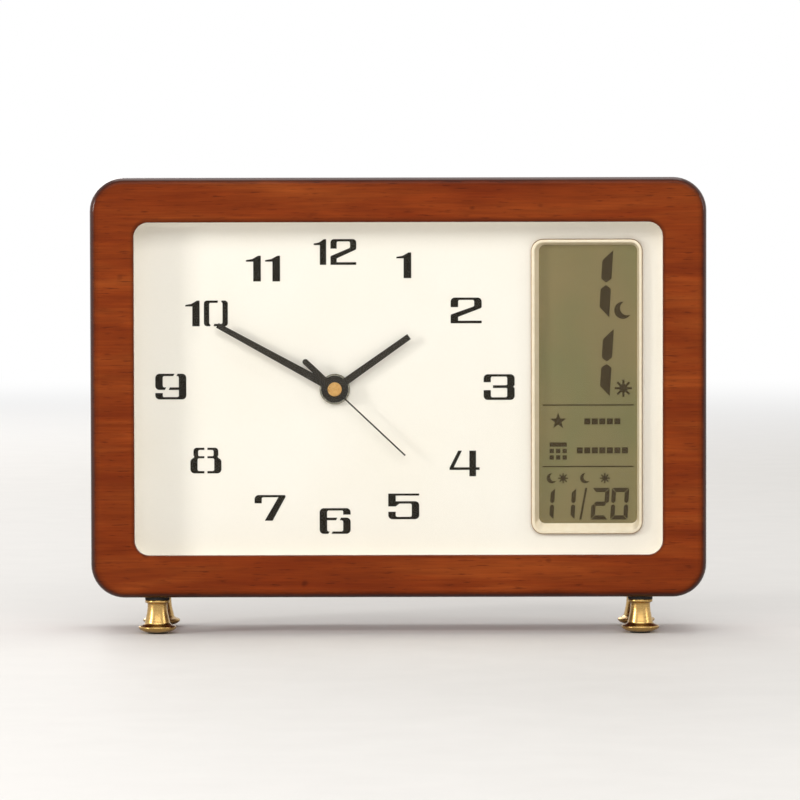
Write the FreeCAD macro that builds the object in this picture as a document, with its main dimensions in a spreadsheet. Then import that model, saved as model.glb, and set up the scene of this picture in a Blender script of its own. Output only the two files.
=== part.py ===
import FreeCAD, Part
import math
import os
import re
import Sketcher

# Wooden desk clock with a quartz movement and a liquid crystal calendar, in millimetres.
# X runs to the right, Y to the back and Z up. The origin lies on the table, under the middle
# of the case, and the dial faces -Y.

SIZES = {
    # wooden case
    "case_depth": 46.0,
    "stile_width": 15.65,
    "rail_height": 15.55,
    "case_corner": 12.0,
    "case_wall": 8.0,
    "cavity_corner": 3.5,
    "front_round": 2.5,
    "rear_round": 1.2,
    "window_corner": 5.2,
    "window_drop": 0.4,
    "window_round": 0.5,
    "lip": 2.5,
    "glass_seat": 2.0,
    "fit": 0.2,
    "dowel_radius": 2.0,
    "dowel_depth": 7.0,
    "dowel_inset": 7.0,
    "block_side": 10.0,
    "block_gap": 0.5,
    # back cover
    "cover_thickness": 3.0,
    "cover_inset": 1.6,
    "cover_seat": 2.5,
    "cover_fit": 0.3,
    "window_to_movement": 3.0,
    "access_corner": 4.0,
    "calendar_access_side": 6.0,
    "calendar_access_end": 13.0,
    # screws, by shank, head and length
    "cover_screw_radius": 1.4,
    "cover_screw_head": 2.8,
    "cover_screw_rise": 1.4,
    "cover_screw_length": 12.0,
    "backer_screw_radius": 0.9,
    "backer_screw_head": 1.9,
    "backer_screw_rise": 1.0,
    "backer_screw_length": 8.0,
    "backer_screw_inset": 16.35,
    "module_screw_length": 4.5,
    "screw_point": 1.2,
    "screw_slot_width": 0.5,
    "screw_slot_depth": 0.5,
    # turned brass feet
    "foot_side_inset": 23.4,
    "foot_depth_inset": 7.0,
    "foot_height": 11.7,
    "foot_rim_radius": 4.4,
    "foot_rim_height": 0.7,
    "foot_neck_radius": 3.9,
    "foot_flare_radius": 4.45,
    "foot_flare_rise": 5.0,
    "foot_groove_radius": 4.1,
    "foot_groove_height": 0.4,
    "foot_flange_radius": 6.85,
    "foot_flange_height": 2.5,
    "foot_flange_edge": 0.4,
    "foot_edge_height": 1.15,
    "foot_base_radius": 4.6,
    "foot_pad_radius": 3.6,
    "foot_pad_thickness": 1.0,
    "foot_pad_drop": 0.5,
    "foot_washer_thickness": 1.0,
    "stud_radius": 2.0,
    "stud_depth": 6.0,
    # glass, spacer and dial
    "lens_thickness": 1.5,
    "spacer_depth": 6.0,
    "spacer_setback": 0.3,
    "dial_thickness": 0.8,
    "backer_thickness": 3.2,
    "backer_fit": 0.3,
    "print_thickness": 0.1,
    # numerals, round the hands
    "numeral_reach": 58.9,
    "numeral_side_margin": 7.1,
    "numeral_end_margin": 5.75,
    "numeral_width": 11.1,
    "numeral_height": 9.2,
    "numeral_round": 1.5,
    # hands
    "hand_drop": 0.7,
    "hour_angle": 54.8,
    "minute_angle": 298.7,
    "second_angle": 133.3,
    "hour_length": 32.6,
    "hour_tip_width": 2.2,
    "hour_root_width": 2.7,
    "hour_hub": 4.8,
    "hour_thickness": 0.5,
    "minute_length": 47.8,
    "minute_tip_width": 1.9,
    "minute_root_width": 3.0,
    "minute_hub": 4.4,
    "minute_thickness": 0.4,
    "second_length": 34.6,
    "second_width": 0.55,
    "second_tail": 15.4,
    "second_tail_width": 2.1,
    "second_hub": 2.2,
    "second_thickness": 0.25,
    "cap_radius": 2.52,
    "cap_height": 1.0,
    "cap_dome": 0.3,
    "hour_rise": 2.1,
    "minute_rise": 2.95,
    "second_rise": 3.85,
    "tube_proud": 0.15,
    # quartz movement
    "movement_side": 56.0,
    "movement_depth": 16.0,
    "movement_corner": 3.0,
    "movement_wall": 1.2,
    "rubber_thickness": 0.8,
    "rubber_radius": 9.0,
    "bushing_radius": 4.0,
    "bushing_proud": 0.15,
    "hole_fit": 0.2,
    "nut_radius": 5.45,
    "nut_thickness": 1.5,
    "nut_chamfer": 0.3,
    "washer_thickness": 0.3,
    "washer_radius": 5.2,
    "running_fit": 0.05,
    "hour_tube": 2.5,
    "minute_tube": 1.65,
    "second_shaft": 0.5,
    "pivot_radius": 0.4,
    "wheel_thickness": 0.7,
    "wheel_gap": 0.45,
    "battery_bay": 15.6,
    "bay_wall": 1.0,
    "battery_radius": 7.15,
    "battery_length": 49.2,
    "battery_nub_radius": 2.6,
    "battery_nub": 1.3,
    "contact_thickness": 0.4,
    "contact_spring": 1.6,
    "contact_height": 9.0,
    "minute_axis": 6.5,
    "third_axis": 8.6,
    "intermediate_axis": 8.75,
    "rotor_axis": 9.0,
    "third_direction": 55.0,
    "intermediate_direction": 130.0,
    "rotor_direction": 150.0,
    "post_radius": 0.7,
    "boss_radius": 1.1,
    "bridge_thickness": 0.9,
    "bridge_post_radius": 1.5,
    "bridge_margin": 3.0,
    "magnet_radius": 3.0,
    "magnet_height": 1.4,
    "stator_thickness": 1.0,
    "stator_gap": 0.4,
    "stator_ring": 1.4,
    "stator_width": 5.0,
    "stator_length": 19.6,
    "stator_leg": 4.0,
    "core_width": 3.0,
    "coil_radius": 3.3,
    "coil_height": 21.5,
    "circuit_width": 10.0,
    "circuit_height": 28.0,
    "circuit_thickness": 1.0,
    "crystal_radius": 1.0,
    "crystal_length": 6.0,
    "knob_radius": 5.0,
    "knob_height": 4.0,
    "knob_groove": 0.35,
    "knob_clearance": 0.3,
    "knob_chamfer": 0.5,
    "setting_shaft": 1.2,
    # calendar display and its module
    "bezel_width": 40.0,
    "bezel_height": 105.9,
    "bezel_dial_margin": 5.85,
    "bezel_side_margin": 6.85,
    "bezel_end_margin": 6.5,
    "bezel_corner": 4.4,
    "bezel_rise": 1.6,
    "bezel_rim": 1.25,
    "bezel_round": 0.6,
    "bezel_skirt_inset": 1.2,
    "glass_side_band": 2.4,
    "glass_end_band": 3.0,
    "glass_corner": 2.2,
    "glass_shift": 0.5,
    "glass_lift": 0.85,
    "panel_thickness": 2.4,
    "panel_fit": 0.6,
    "zebra_setback": 3.9,
    "zebra_width": 2.0,
    "zebra_height": 3.4,
    "board_fit": 1.0,
    "board_thickness": 1.2,
    "module_margin": 3.05,
    "module_depth": 14.5,
    "module_wall": 1.5,
    "module_corner": 3.0,
    "ear_width": 8.0,
    "ear_height": 9.0,
    "ear_thickness": 2.0,
    "ear_setback": 11.0,
    "switch_side": 6.0,
    "switch_height": 3.5,
    "switch_plunger": 1.6,
    "switch_plunger_height": 0.8,
    "button_radius": 3.0,
    "button_proud": 1.4,
    "button_flange": 0.8,
    "button_flange_height": 0.8,
    "button_travel": 0.6,
    "button_fit": 0.1,
    "button_spacing": 10.0,
    "button_rise": 30.0,
    "cell_radius": 5.8,
    "cell_height": 5.4,
    "cell_drop": 25.0,
    "cup_wall": 1.2,
    "door_radius": 7.4,
    "door_thickness": 1.2,
    "door_slot": 1.4,
}

# tooth counts of the going train and of the motion work
ROTOR_TEETH = 12
INTERMEDIATE_TEETH = 60
INTERMEDIATE_PINION_TEETH = 10
SECOND_TEETH = 60
SECOND_PINION_TEETH = 8
THIRD_TEETH = 60
THIRD_PINION_TEETH = 8
CENTRE_TEETH = 64
CANNON_TEETH = 12
MINUTE_TEETH = 36
MINUTE_PINION_TEETH = 10
HOUR_TEETH = 40
SETTING_TEETH = 12
KNOB_GROOVE_COUNT = 24

# tooth form, as shares of the module and of the pitch
ADDENDUM_SHARE = 0.8
DEDENDUM_SHARE = 1.15
BACKLASH_SHARE = 0.18
PRESSURE_ANGLE = math.radians(20)

# the printed numerals: for each hour, its centre from the hands as shares of the numerals' reach
# across and up, then its digits with their widths as shares of a single digit's width
NUMERAL_SHARES = {
    12: (0.003, 1.0, (("1", 0.40), ("2", 0.83))),
    1: (0.421, 0.902, (("1", 0.48),)),
    2: (0.8, 0.572, (("2", 1.0),)),
    3: (1.0, 0.012, (("3", 1.0),)),
    4: (0.789, -0.546, (("4", 0.97),)),
    5: (0.418, -0.859, (("5", 1.0),)),
    6: (0.0, -0.965, (("6", 1.0),)),
    7: (-0.396, -0.868, (("7", 1.0),)),
    8: (-0.786, -0.521, (("8", 1.0),)),
    9: (-0.998, 0.02, (("9", 1.0),)),
    10: (-0.779, 0.554, (("1", 0.46), ("0", 0.77))),
    11: (-0.435, 0.88, (("1", 0.48), ("1", 0.48))),
}
NUMERAL_GAP_SHARE = 0.14

# each digit's outlines, in shares of its width and height; a third value rounds that corner
DIGIT_SHARES = {
    "0": [
        [
            (0, 1, 1), (0.59, 1), (0.57, 0.91), (0.22, 0.91, 0.4), (0.22, 0.1, 0.4), (0.28, 0.04),
            (0.25, 0), (0, 0, 1),
        ],
        [
            (1, 0, 1), (0.41, 0), (0.43, 0.09), (0.78, 0.09, 0.4), (0.78, 0.9, 0.4), (0.72, 0.96),
            (0.75, 1), (1, 1, 1),
        ],
    ],
    "1": [
        [(0, 0.77), (0, 0.83), (0.42, 0.87), (0.82, 1), (1, 1), (1, 0), (0.49, 0), (0.49, 0.77)],
    ],
    "2": [
        [
            (0, 0.63), (0, 1, 1), (1, 1, 1), (1, 0.6, 0.5), (0.24, 0.25), (0.24, 0.1), (1, 0.1), (1, 0),
            (0, 0), (0, 0.34, 0.4), (0.76, 0.66, 0.4), (0.76, 0.91, 0.4), (0.24, 0.91, 0.4), (0.24, 0.63),
        ],
    ],
    "3": [
        [
            (0, 0.69), (0, 1, 1), (1, 1, 1), (1, 0.57, 0.3), (0.95, 0.515), (1, 0.46, 0.3), (1, 0, 1),
            (0, 0, 1), (0, 0.38), (0.23, 0.38), (0.23, 0.1, 0.4), (0.76, 0.1, 0.4), (0.76, 0.465, 0.3),
            (0.3, 0.465), (0.3, 0.57), (0.76, 0.57, 0.3), (0.76, 0.91, 0.4), (0.23, 0.91, 0.4), (0.23, 0.69),
        ],
    ],
    "4": [
        [
            (0, 0.25), (0, 0.33), (0.29, 1), (0.41, 1), (0.14, 0.35), (0.66, 0.35), (0.66, 1), (0.88, 1),
            (0.88, 0.35), (1, 0.35), (1, 0.25), (0.88, 0.25), (0.88, 0), (0.66, 0), (0.66, 0.25),
        ],
    ],
    "5": [
        [
            (0, 0.5), (0, 1), (1, 1), (1, 0.92), (0.24, 0.92), (0.24, 0.7), (1, 0.7, 1), (1, 0, 1),
            (0, 0, 1), (0, 0.29), (0.24, 0.29), (0.24, 0.09, 0.4), (0.76, 0.09, 0.4), (0.76, 0.61, 0.4),
            (0.36, 0.61), (0.24, 0.5),
        ],
    ],
    "6": [
        [
            (0, 0, 1), (0, 1, 1), (1, 1, 1), (1, 0.75), (0.76, 0.75), (0.76, 0.91, 0.3), (0.24, 0.91, 0.4),
            (0.24, 0.63), (0.57, 0.63), (0.53, 0.53), (0.24, 0.53), (0.24, 0.09, 0.4), (0.32, 0.09),
            (0.28, 0),
        ],
        [
            (0.69, 0.63), (1, 0.63, 1), (1, 0, 1), (0.38, 0), (0.42, 0.09), (0.76, 0.09, 0.4),
            (0.76, 0.53, 0.4), (0.65, 0.53),
        ],
    ],
    "7": [
        [
            (0, 0.68), (0, 1, 1), (1, 1, 0.3), (1, 0.93), (0.58, 0), (0.33, 0), (0.77, 0.915),
            (0.23, 0.915, 0.4), (0.23, 0.68),
        ],
    ],
    "8": [
        [
            (0.45, 1), (0.45, 0.915), (0.25, 0.915, 0.4), (0.25, 0.67, 0.3), (0.45, 0.67), (0.45, 0.59),
            (0.23, 0.59, 0.4), (0.23, 0.09, 0.4), (0.45, 0.09), (0.45, 0), (0, 0, 1), (0, 0.52, 0.8),
            (0.14, 0.64, 0.3), (0.1, 0.7, 0.3), (0.1, 1, 0.8),
        ],
    ],
}

doc = FreeCAD.newDocument("DeskClock")
sheet = doc.addObject("Spreadsheet::Sheet", "Sizes")
for row, (name, value) in enumerate(SIZES.items(), start=1):
    sheet.set(f"A{row}", name)
    sheet.set(f"B{row}", str(value))
    sheet.setAlias(f"B{row}", name)
doc.recompute()

subparts = []


def calc(expression):
    """The value of an expression of the sheet's sizes."""
    return float(sheet.evalExpression(expression))


def size(name):
    """One size of the sheet, for shapes that a formula makes."""
    return float(sheet.get(name))


def sizes(expression):
    """The expression with the sheet's name before each size, as bindings need it."""
    def with_sheet(match):
        word = match.group()
        return f"Sizes.{word}" if word in SIZES else word

    return re.sub(r"(?<![.\w])[a-z]\w*", with_sheet, expression)


def keep(item, label):
    """Name an object as a sub-part, which is written to a file of that name."""
    item.Label = label
    subparts.append(item)
    return item


def place(item, right="0", back="0", up="0", turn=None):
    """Bind an object's Placement, with an optional turn about Y given by a size."""
    if turn:
        item.Placement = FreeCAD.Placement(FreeCAD.Vector(), FreeCAD.Rotation(FreeCAD.Vector(0, 1, 0), 1))
        item.setExpression("Placement.Rotation.Angle", sizes(turn))
    for axis, expression in zip("xyz", (right, back, up)):
        item.setExpression(f"Placement.Base.{axis}", sizes(expression))
    return item


def new_body(label, right="0", back="0", up="0", turn=None):
    """A sub-part made of features, at its place in the clock."""
    body = doc.addObject("PartDesign::Body", label)
    place(body, right, back, up, turn)
    return keep(body, label)


def sketch_on(body, role, offset="0"):
    """An empty sketch on one of the body's own planes, moved along that plane's normal."""
    plane = next(item for item in body.Origin.OriginFeatures if item.Role == role)
    sketch = body.newObject("Sketcher::SketchObject", f"{body.Name}_sketch")
    sketch.AttachmentSupport = (plane, [""])
    sketch.MapMode = "FlatFace"
    sketch.setExpression("AttachmentOffset.Base.z", sizes(offset))
    return sketch


def facing(body, depth="0"):
    """A sketch seen from the front, at a depth behind the body's origin."""
    return sketch_on(body, "XZ_Plane", f"0 - ( {depth} )")


def bind(sketch, constraint, expression):
    """Add a constraint whose value follows an expression."""
    index = sketch.addConstraint(constraint)
    sketch.setExpression(f"Constraints[{index}]", expression)


def fix_point(sketch, geometry, end, across, up):
    """Hold one point of a sketch at two expressions from the sketch's origin."""
    bind(sketch, Sketcher.Constraint("DistanceX", -1, 1, geometry, end, calc(across)), across)
    bind(sketch, Sketcher.Constraint("DistanceY", -1, 1, geometry, end, calc(up)), up)


def add_rectangle(sketch, width, height, corner, across="0", up="0"):
    """Four lines and four tangent corner arcs, all bound to expressions."""
    width, height, corner, across, up = (sizes(item) for item in (width, height, corner, across, up))
    half_width, half_height, radius = calc(width) / 2, calc(height) / 2, calc(corner)
    middle = FreeCAD.Vector(calc(across), calc(up), 0)
    first = sketch.GeometryCount
    for quarter in range(4):
        if quarter % 2 == 0:
            reach, run = half_height, half_width - radius
        else:
            reach, run = half_width, half_height - radius
        turn = FreeCAD.Rotation(FreeCAD.Vector(0, 0, 1), math.degrees(quarter * math.pi / 2))
        start = middle + turn.multVec(FreeCAD.Vector(-run, -reach, 0))
        end = middle + turn.multVec(FreeCAD.Vector(run, -reach, 0))
        pivot = end + turn.multVec(FreeCAD.Vector(0, radius, 0))
        angle = (quarter - 1) * math.pi / 2
        circle = Part.Circle(pivot, FreeCAD.Vector(0, 0, 1), radius)
        sketch.addGeometry(Part.LineSegment(start, end))
        sketch.addGeometry(Part.ArcOfCircle(circle, angle, angle + math.pi / 2))
    for quarter in range(4):
        line = first + 2 * quarter
        following = first + (2 * quarter + 2) % 8
        sketch.addConstraint(Sketcher.Constraint("Tangent", line, 2, line + 1, 1))
        sketch.addConstraint(Sketcher.Constraint("Tangent", line + 1, 2, following, 1))
        sketch.addConstraint(Sketcher.Constraint("Vertical" if quarter % 2 else "Horizontal", line))
        if quarter:
            sketch.addConstraint(Sketcher.Constraint("Equal", first + 1, line + 1))
    run = Sketcher.Constraint("DistanceX", first, 1, first, 2, 2 * (half_width - radius))
    rise = Sketcher.Constraint("DistanceY", first + 2, 1, first + 2, 2, 2 * (half_height - radius))
    bind(sketch, Sketcher.Constraint("Radius", first + 1, radius), corner)
    bind(sketch, run, f"{width} - 2 * ( {corner} )")
    bind(sketch, rise, f"{height} - 2 * ( {corner} )")
    left, bottom = f"{across} - ( {width} ) / 2 + {corner}", f"{up} - ( {height} ) / 2"
    fix_point(sketch, first, 1, left, bottom)


def add_circle(sketch, radius, across="0", up="0"):
    """A circle whose radius and centre are bound to expressions."""
    radius, across, up = sizes(radius), sizes(across), sizes(up)
    middle = FreeCAD.Vector(calc(across), calc(up), 0)
    circle = sketch.addGeometry(Part.Circle(middle, FreeCAD.Vector(0, 0, 1), calc(radius)))
    bind(sketch, Sketcher.Constraint("Radius", circle, calc(radius)), radius)
    fix_point(sketch, circle, 3, across, up)


def add_outline(sketch, points):
    """A closed outline. Each point is (across, up), and (across, up, radius) starts an arc.

    The arc bulges to the right of the way the outline goes.
    """
    places = [[sizes(item) for item in point[:2]] for point in points]
    corners = [FreeCAD.Vector(calc(across), calc(up), 0) for across, up in places]
    first = sketch.GeometryCount
    starts, ends = [], []
    for index, point in enumerate(points):
        start, end = corners[index], corners[(index + 1) % len(corners)]
        if len(point) == 2:
            sketch.addGeometry(Part.LineSegment(start, end))
            starts.append(1)
            ends.append(2)
            continue
        radius, chord = calc(sizes(point[2])), end - start
        right = FreeCAD.Vector(chord.y, -chord.x, 0).normalize()
        sagitta = radius - math.sqrt(radius ** 2 - (chord.Length / 2) ** 2)
        arc = Part.Arc(start, (start + end) / 2 + right * sagitta, end)
        sketch.addGeometry(arc)
        begins_here = sketch.getPoint(first + index, 1).distanceToPoint(start) < chord.Length / 2
        starts.append(1 if begins_here else 2)
        ends.append(2 if begins_here else 1)
        bind(sketch, Sketcher.Constraint("Radius", first + index, radius), sizes(point[2]))
    for index, (across, up) in enumerate(places):
        following = (index + 1) % len(places)
        here, there = first + index, first + following
        sketch.addConstraint(Sketcher.Constraint("Coincident", here, ends[index], there, starts[following]))
        fix_point(sketch, first + index, starts[index], across, up)


def pad(body, sketch, length, backwards=True):
    """Extrude a sketch, towards the back of the clock unless told otherwise."""
    feature = body.newObject("PartDesign::Pad", f"{body.Name}_pad")
    feature.Profile = sketch
    feature.setExpression("Length", sizes(length))
    feature.Reversed = backwards
    sketch.Visibility = False
    return feature


def pocket(body, sketch, length, along_normal=False):
    """Cut a sketch out, towards the back of the clock unless told otherwise."""
    feature = body.newObject("PartDesign::Pocket", f"{body.Name}_pocket")
    feature.Profile = sketch
    feature.setExpression("Length", sizes(length))
    feature.Reversed = along_normal
    sketch.Visibility = False
    return feature


def edges_in_plane(shape, axis, level, largest=None, smallest=None):
    """Names of the edges that lie in the plane where axis equals level."""
    names = []
    for number, edge in enumerate(shape.Edges, start=1):
        box = edge.BoundBox
        low, high = getattr(box, f"{axis}Min"), getattr(box, f"{axis}Max")
        reach = max(abs(box.XMin), abs(box.XMax))
        flat = math.isclose(low, level, abs_tol=1e-6) and math.isclose(high, level, abs_tol=1e-6)
        inside = largest is None or reach <= largest
        outside = smallest is None or reach >= smallest
        if flat and inside and outside:
            names.append(f"Edge{number}")
    return names


def round_edges(body, radius, axis, level, largest=None, smallest=None):
    """Round the edges of one flat face."""
    doc.recompute()
    base = body.Tip
    names = edges_in_plane(base.Shape, axis, level, largest, smallest)
    feature = body.newObject("PartDesign::Fillet", f"{body.Name}_fillet")
    feature.Base = (base, names)
    feature.setExpression("Radius", sizes(radius))
    return feature


def turned(body, role, axis, points):
    """Revolve an outline that touches the axis, a full turn."""
    sketch = sketch_on(body, role)
    add_outline(sketch, points)
    feature = body.newObject("PartDesign::Revolution", f"{body.Name}_turned")
    feature.Profile = sketch
    feature.ReferenceAxis = (sketch, [axis])
    feature.Angle = 360
    sketch.Visibility = False
    return feature


def turned_along_y(body, points):
    """Revolve an outline about Y. Its points are (back, radius)."""
    return turned(body, "YZ_Plane", "H_Axis", points)


def plate(label, width, height, corner, thickness, **where):
    """A flat rounded board, whose body stays open for more features."""
    body = new_body(label, **where)
    sketch = facing(body)
    add_rectangle(sketch, width, height, corner)
    pad(body, sketch, thickness)
    return body


def round_disc(label, radius, thickness, bore=None, **where):
    """A disc or ring whose axis runs to the back."""
    body = new_body(label, **where)
    sketch = facing(body)
    add_circle(sketch, radius)
    if bore:
        add_circle(sketch, bore)
    pad(body, sketch, thickness)
    return body


def box_along(label, width, depth, height, right, back, up):
    """A plain block, centred across and up, whose front face lies at back."""
    block = doc.addObject("Part::Box", label)
    for side, expression in zip(("Length", "Width", "Height"), (width, depth, height)):
        block.setExpression(side, sizes(expression))
    place(block, f"{right} - ( {width} ) / 2", back, f"{up} - ( {height} ) / 2")
    return block


def group(label, prototype, places):
    """One sub-part of several like solids: links to a prototype, each at its own place."""
    links = []
    for right, back, up in places:
        link = doc.addObject("App::Link", f"{label}_link")
        link.LinkedObject = prototype
        link.LinkTransform = True
        links.append(place(link, right, back, up))
    compound = doc.addObject("Part::Compound", label)
    compound.Links = links
    return keep(compound, label)


def prototype_of(label, role, axis, points):
    """A turned solid that only serves as the pattern of a group."""
    body = doc.addObject("PartDesign::Body", label)
    turned(body, role, axis, points)
    return body


# the window holds the numerals and, to their right, the display; the case goes round the window
DIAL_HALF = "( numeral_reach + numeral_width / 2 )"
WINDOW_WIDTH = (
    f"( numeral_side_margin + 2 * {DIAL_HALF} + bezel_dial_margin + bezel_width + bezel_side_margin )"
)
WINDOW_HEIGHT = "( bezel_height + 2 * bezel_end_margin )"
CASE_WIDTH = f"( {WINDOW_WIDTH} + 2 * stile_width )"
CASE_HEIGHT = f"( {WINDOW_HEIGHT} + 2 * rail_height )"
NUMERAL_RISE = f"( {WINDOW_HEIGHT} / 2 - numeral_height / 2 - numeral_end_margin )"
HAND_RIGHT = f"( numeral_side_margin + {DIAL_HALF} - {WINDOW_WIDTH} / 2 )"
DISPLAY_RIGHT = f"( {WINDOW_WIDTH} / 2 - bezel_side_margin - bezel_width / 2 )"
FOOT_SPREAD = f"( {CASE_WIDTH} - 2 * foot_side_inset )"
FOOT_REACH = "( case_depth - 2 * foot_depth_inset )"

# levels of the stack behind the front face, each as an expression along Y
FRONT = "( 0 - case_depth / 2 )"
REAR = "( case_depth / 2 )"
BOARD = "( lip + lens_thickness + spacer_depth + dial_thickness )"
LENS_FRONT = f"( {FRONT} + lip )"
LENS_BACK = f"( {LENS_FRONT} + lens_thickness )"
DIAL_FRONT = f"( {LENS_BACK} + spacer_depth )"
DIAL_BACK = f"( {DIAL_FRONT} + dial_thickness )"
BACKER_BACK = f"( {DIAL_BACK} + backer_thickness )"
MOVEMENT_FRONT = f"( {BACKER_BACK} + rubber_thickness )"
COVER_FRONT = f"( {REAR} - cover_inset - cover_thickness )"
BODY_DEPTH = f"( case_depth - {BOARD} )"

# heights of the case's middle, of its window's middle and of the hands' axis
CASE_BOTTOM = "( foot_pad_drop + foot_height + foot_washer_thickness )"
MIDDLE = f"( {CASE_BOTTOM} + {CASE_HEIGHT} / 2 )"
WINDOW_MIDDLE = f"( {MIDDLE} - window_drop )"
HAND_UP = f"( {MIDDLE} - hand_drop )"

# openings and seats that several pieces share
CAVITY_WIDTH = f"( {CASE_WIDTH} - 2 * case_wall )"
CAVITY_HEIGHT = f"( {CASE_HEIGHT} - 2 * case_wall )"
SEAT_WIDTH = f"( {WINDOW_WIDTH} + 2 * glass_seat )"
SEAT_HEIGHT = f"( {WINDOW_HEIGHT} + 2 * glass_seat )"
SEAT_CORNER = "( window_corner + glass_seat )"
COVER_WIDTH = f"( {CAVITY_WIDTH} + 2 * cover_seat )"
COVER_HEIGHT = f"( {CAVITY_HEIGHT} + 2 * cover_seat )"
COVER_CORNER = "( cavity_corner + cover_seat )"
SKIRT_WIDTH = "( bezel_width - 2 * bezel_skirt_inset )"
SKIRT_HEIGHT = "( bezel_height - 2 * bezel_skirt_inset )"
SKIRT_CORNER = "( bezel_corner - bezel_skirt_inset )"
PANEL_WIDTH = "( bezel_width - fit )"
PANEL_HEIGHT = "( bezel_height - fit )"
GLASS_WIDTH = "( bezel_width - 2 * glass_side_band )"
GLASS_HEIGHT = "( bezel_height - 2 * glass_end_band )"
MODULE_WIDTH = "( bezel_width + 2 * module_margin )"
MODULE_HEIGHT = "( bezel_height + 2 * module_margin )"

# where the dowels, the corner blocks and the backer's screws stand, from the case's middle
DOWEL_RIGHT = f"( {CASE_WIDTH} / 2 - dowel_inset )"
DOWEL_UP = f"( {CASE_HEIGHT} / 2 - dowel_inset )"
BLOCK_RIGHT = f"( {CAVITY_WIDTH} / 2 - block_side / 2 )"
BLOCK_UP = f"( {CAVITY_HEIGHT} / 2 - block_side / 2 )"
SCREW_BAND = f"( ( {SEAT_HEIGHT} / 2 + {CAVITY_HEIGHT} / 2 ) / 2 )"
SCREW_SPREAD = f"( {WINDOW_WIDTH} / 2 - backer_screw_inset )"
CORNERS = [(side, level) for side in (-1, 1) for level in (-1, 1)]
DOWELS = [(f"{side} * {DOWEL_RIGHT}", f"{level} * {DOWEL_UP}") for side, level in CORNERS]
BLOCKS = [(f"{side} * {BLOCK_RIGHT}", f"{level} * {BLOCK_UP}") for side, level in CORNERS]
BACKER_SCREWS = [
    (f"{side} * {SCREW_SPREAD}", f"{level} * {SCREW_BAND}") for side in (-1, 0, 1) for level in (-1, 1)
]


def make_front_frame():
    """One routed board: the window, the seat for glass and dial behind a lip, and its holes."""
    body = plate("front_frame", CASE_WIDTH, CASE_HEIGHT, "case_corner", BOARD, back=FRONT, up=MIDDLE)
    window = facing(body)
    add_rectangle(window, WINDOW_WIDTH, WINDOW_HEIGHT, "window_corner", up="0 - window_drop")
    pocket(body, window, BOARD)
    seat = facing(body, "lip")
    add_rectangle(seat, SEAT_WIDTH, SEAT_HEIGHT, SEAT_CORNER, up="0 - window_drop")
    pocket(body, seat, f"{BOARD} - lip")
    holes = facing(body, f"{BOARD} - dowel_depth")
    for right, up in DOWELS:
        add_circle(holes, "dowel_radius", right, up)
    pocket(body, holes, "dowel_depth")
    pilots = facing(body, f"{BOARD} - ( backer_screw_length - backer_thickness )")
    for right, up in BACKER_SCREWS:
        add_circle(pilots, "backer_screw_radius", right, up)
    pocket(body, pilots, "backer_screw_length - backer_thickness")
    studs = sketch_on(body, "XY_Plane", f"0 - {CASE_HEIGHT} / 2")
    for side in (-1, 1):
        add_circle(studs, "stud_radius", f"{side} * {FOOT_SPREAD} / 2", "foot_depth_inset")
    pocket(body, studs, "stud_depth", along_normal=True)
    outer = (calc(sizes(WINDOW_WIDTH)) + calc(sizes(CASE_WIDTH))) / 4
    round_edges(body, "front_round", "Y", 0, smallest=outer)
    round_edges(body, "window_round", "Y", 0, largest=outer)


def make_case_body():
    """The deep ring behind the front board, with a seat for the back cover."""
    where = {"back": DIAL_BACK, "up": MIDDLE}
    body = plate("case_body", CASE_WIDTH, CASE_HEIGHT, "case_corner", BODY_DEPTH, **where)
    cavity = facing(body)
    add_rectangle(cavity, CAVITY_WIDTH, CAVITY_HEIGHT, "cavity_corner")
    pocket(body, cavity, BODY_DEPTH)
    seat = facing(body, f"{COVER_FRONT} - {DIAL_BACK}")
    add_rectangle(seat, COVER_WIDTH, COVER_HEIGHT, COVER_CORNER)
    pocket(body, seat, "cover_thickness + cover_inset")
    holes = facing(body)
    for right, up in DOWELS:
        add_circle(holes, "dowel_radius", right, up)
    pocket(body, holes, "dowel_depth")
    studs = sketch_on(body, "XY_Plane", f"0 - {CASE_HEIGHT} / 2")
    for side in (-1, 1):
        add_circle(studs, "stud_radius", f"{side} * {FOOT_SPREAD} / 2", f"{FOOT_REACH} / 2 - {DIAL_BACK}")
    pocket(body, studs, "stud_depth", along_normal=True)
    rim = (calc(sizes(CASE_WIDTH)) + calc(sizes(COVER_WIDTH))) / 4
    round_edges(body, "rear_round", "Y", calc(sizes(BODY_DEPTH)), smallest=rim)


def make_case_fastenings():
    """Dowels between the boards, glue blocks in the corners and the cover's screws."""
    dowel = doc.addObject("Part::Cylinder", "dowel")
    dowel.Placement = FreeCAD.Placement(FreeCAD.Vector(), FreeCAD.Rotation(FreeCAD.Vector(1, 0, 0), -90))
    dowel.setExpression("Radius", sizes("dowel_radius"))
    dowel.setExpression("Height", sizes("2 * dowel_depth"))
    starts = f"{DIAL_BACK} - dowel_depth"
    group("case_dowels", dowel, [(right, starts, f"{MIDDLE} + {up}") for right, up in DOWELS])

    block = doc.addObject("PartDesign::Body", "block")
    outline = facing(block)
    add_rectangle(outline, "block_side", "block_side", "cavity_corner + fit")
    pad(block, outline, f"{COVER_FRONT} - {BACKER_BACK} - block_gap")
    hole = facing(block)
    add_circle(hole, "cover_screw_radius")
    pocket(block, hole, f"{COVER_FRONT} - {BACKER_BACK} - block_gap")
    starts = f"{BACKER_BACK} + block_gap"
    group("corner_blocks", block, [(right, starts, f"{MIDDLE} + {up}") for right, up in BLOCKS])

    screw = make_screw("cover_screw", "cover_screw_length")
    starts = f"{COVER_FRONT} + cover_thickness"
    group("cover_screws", screw, [(right, starts, f"{MIDDLE} + {up}") for right, up in BLOCKS])


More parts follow.
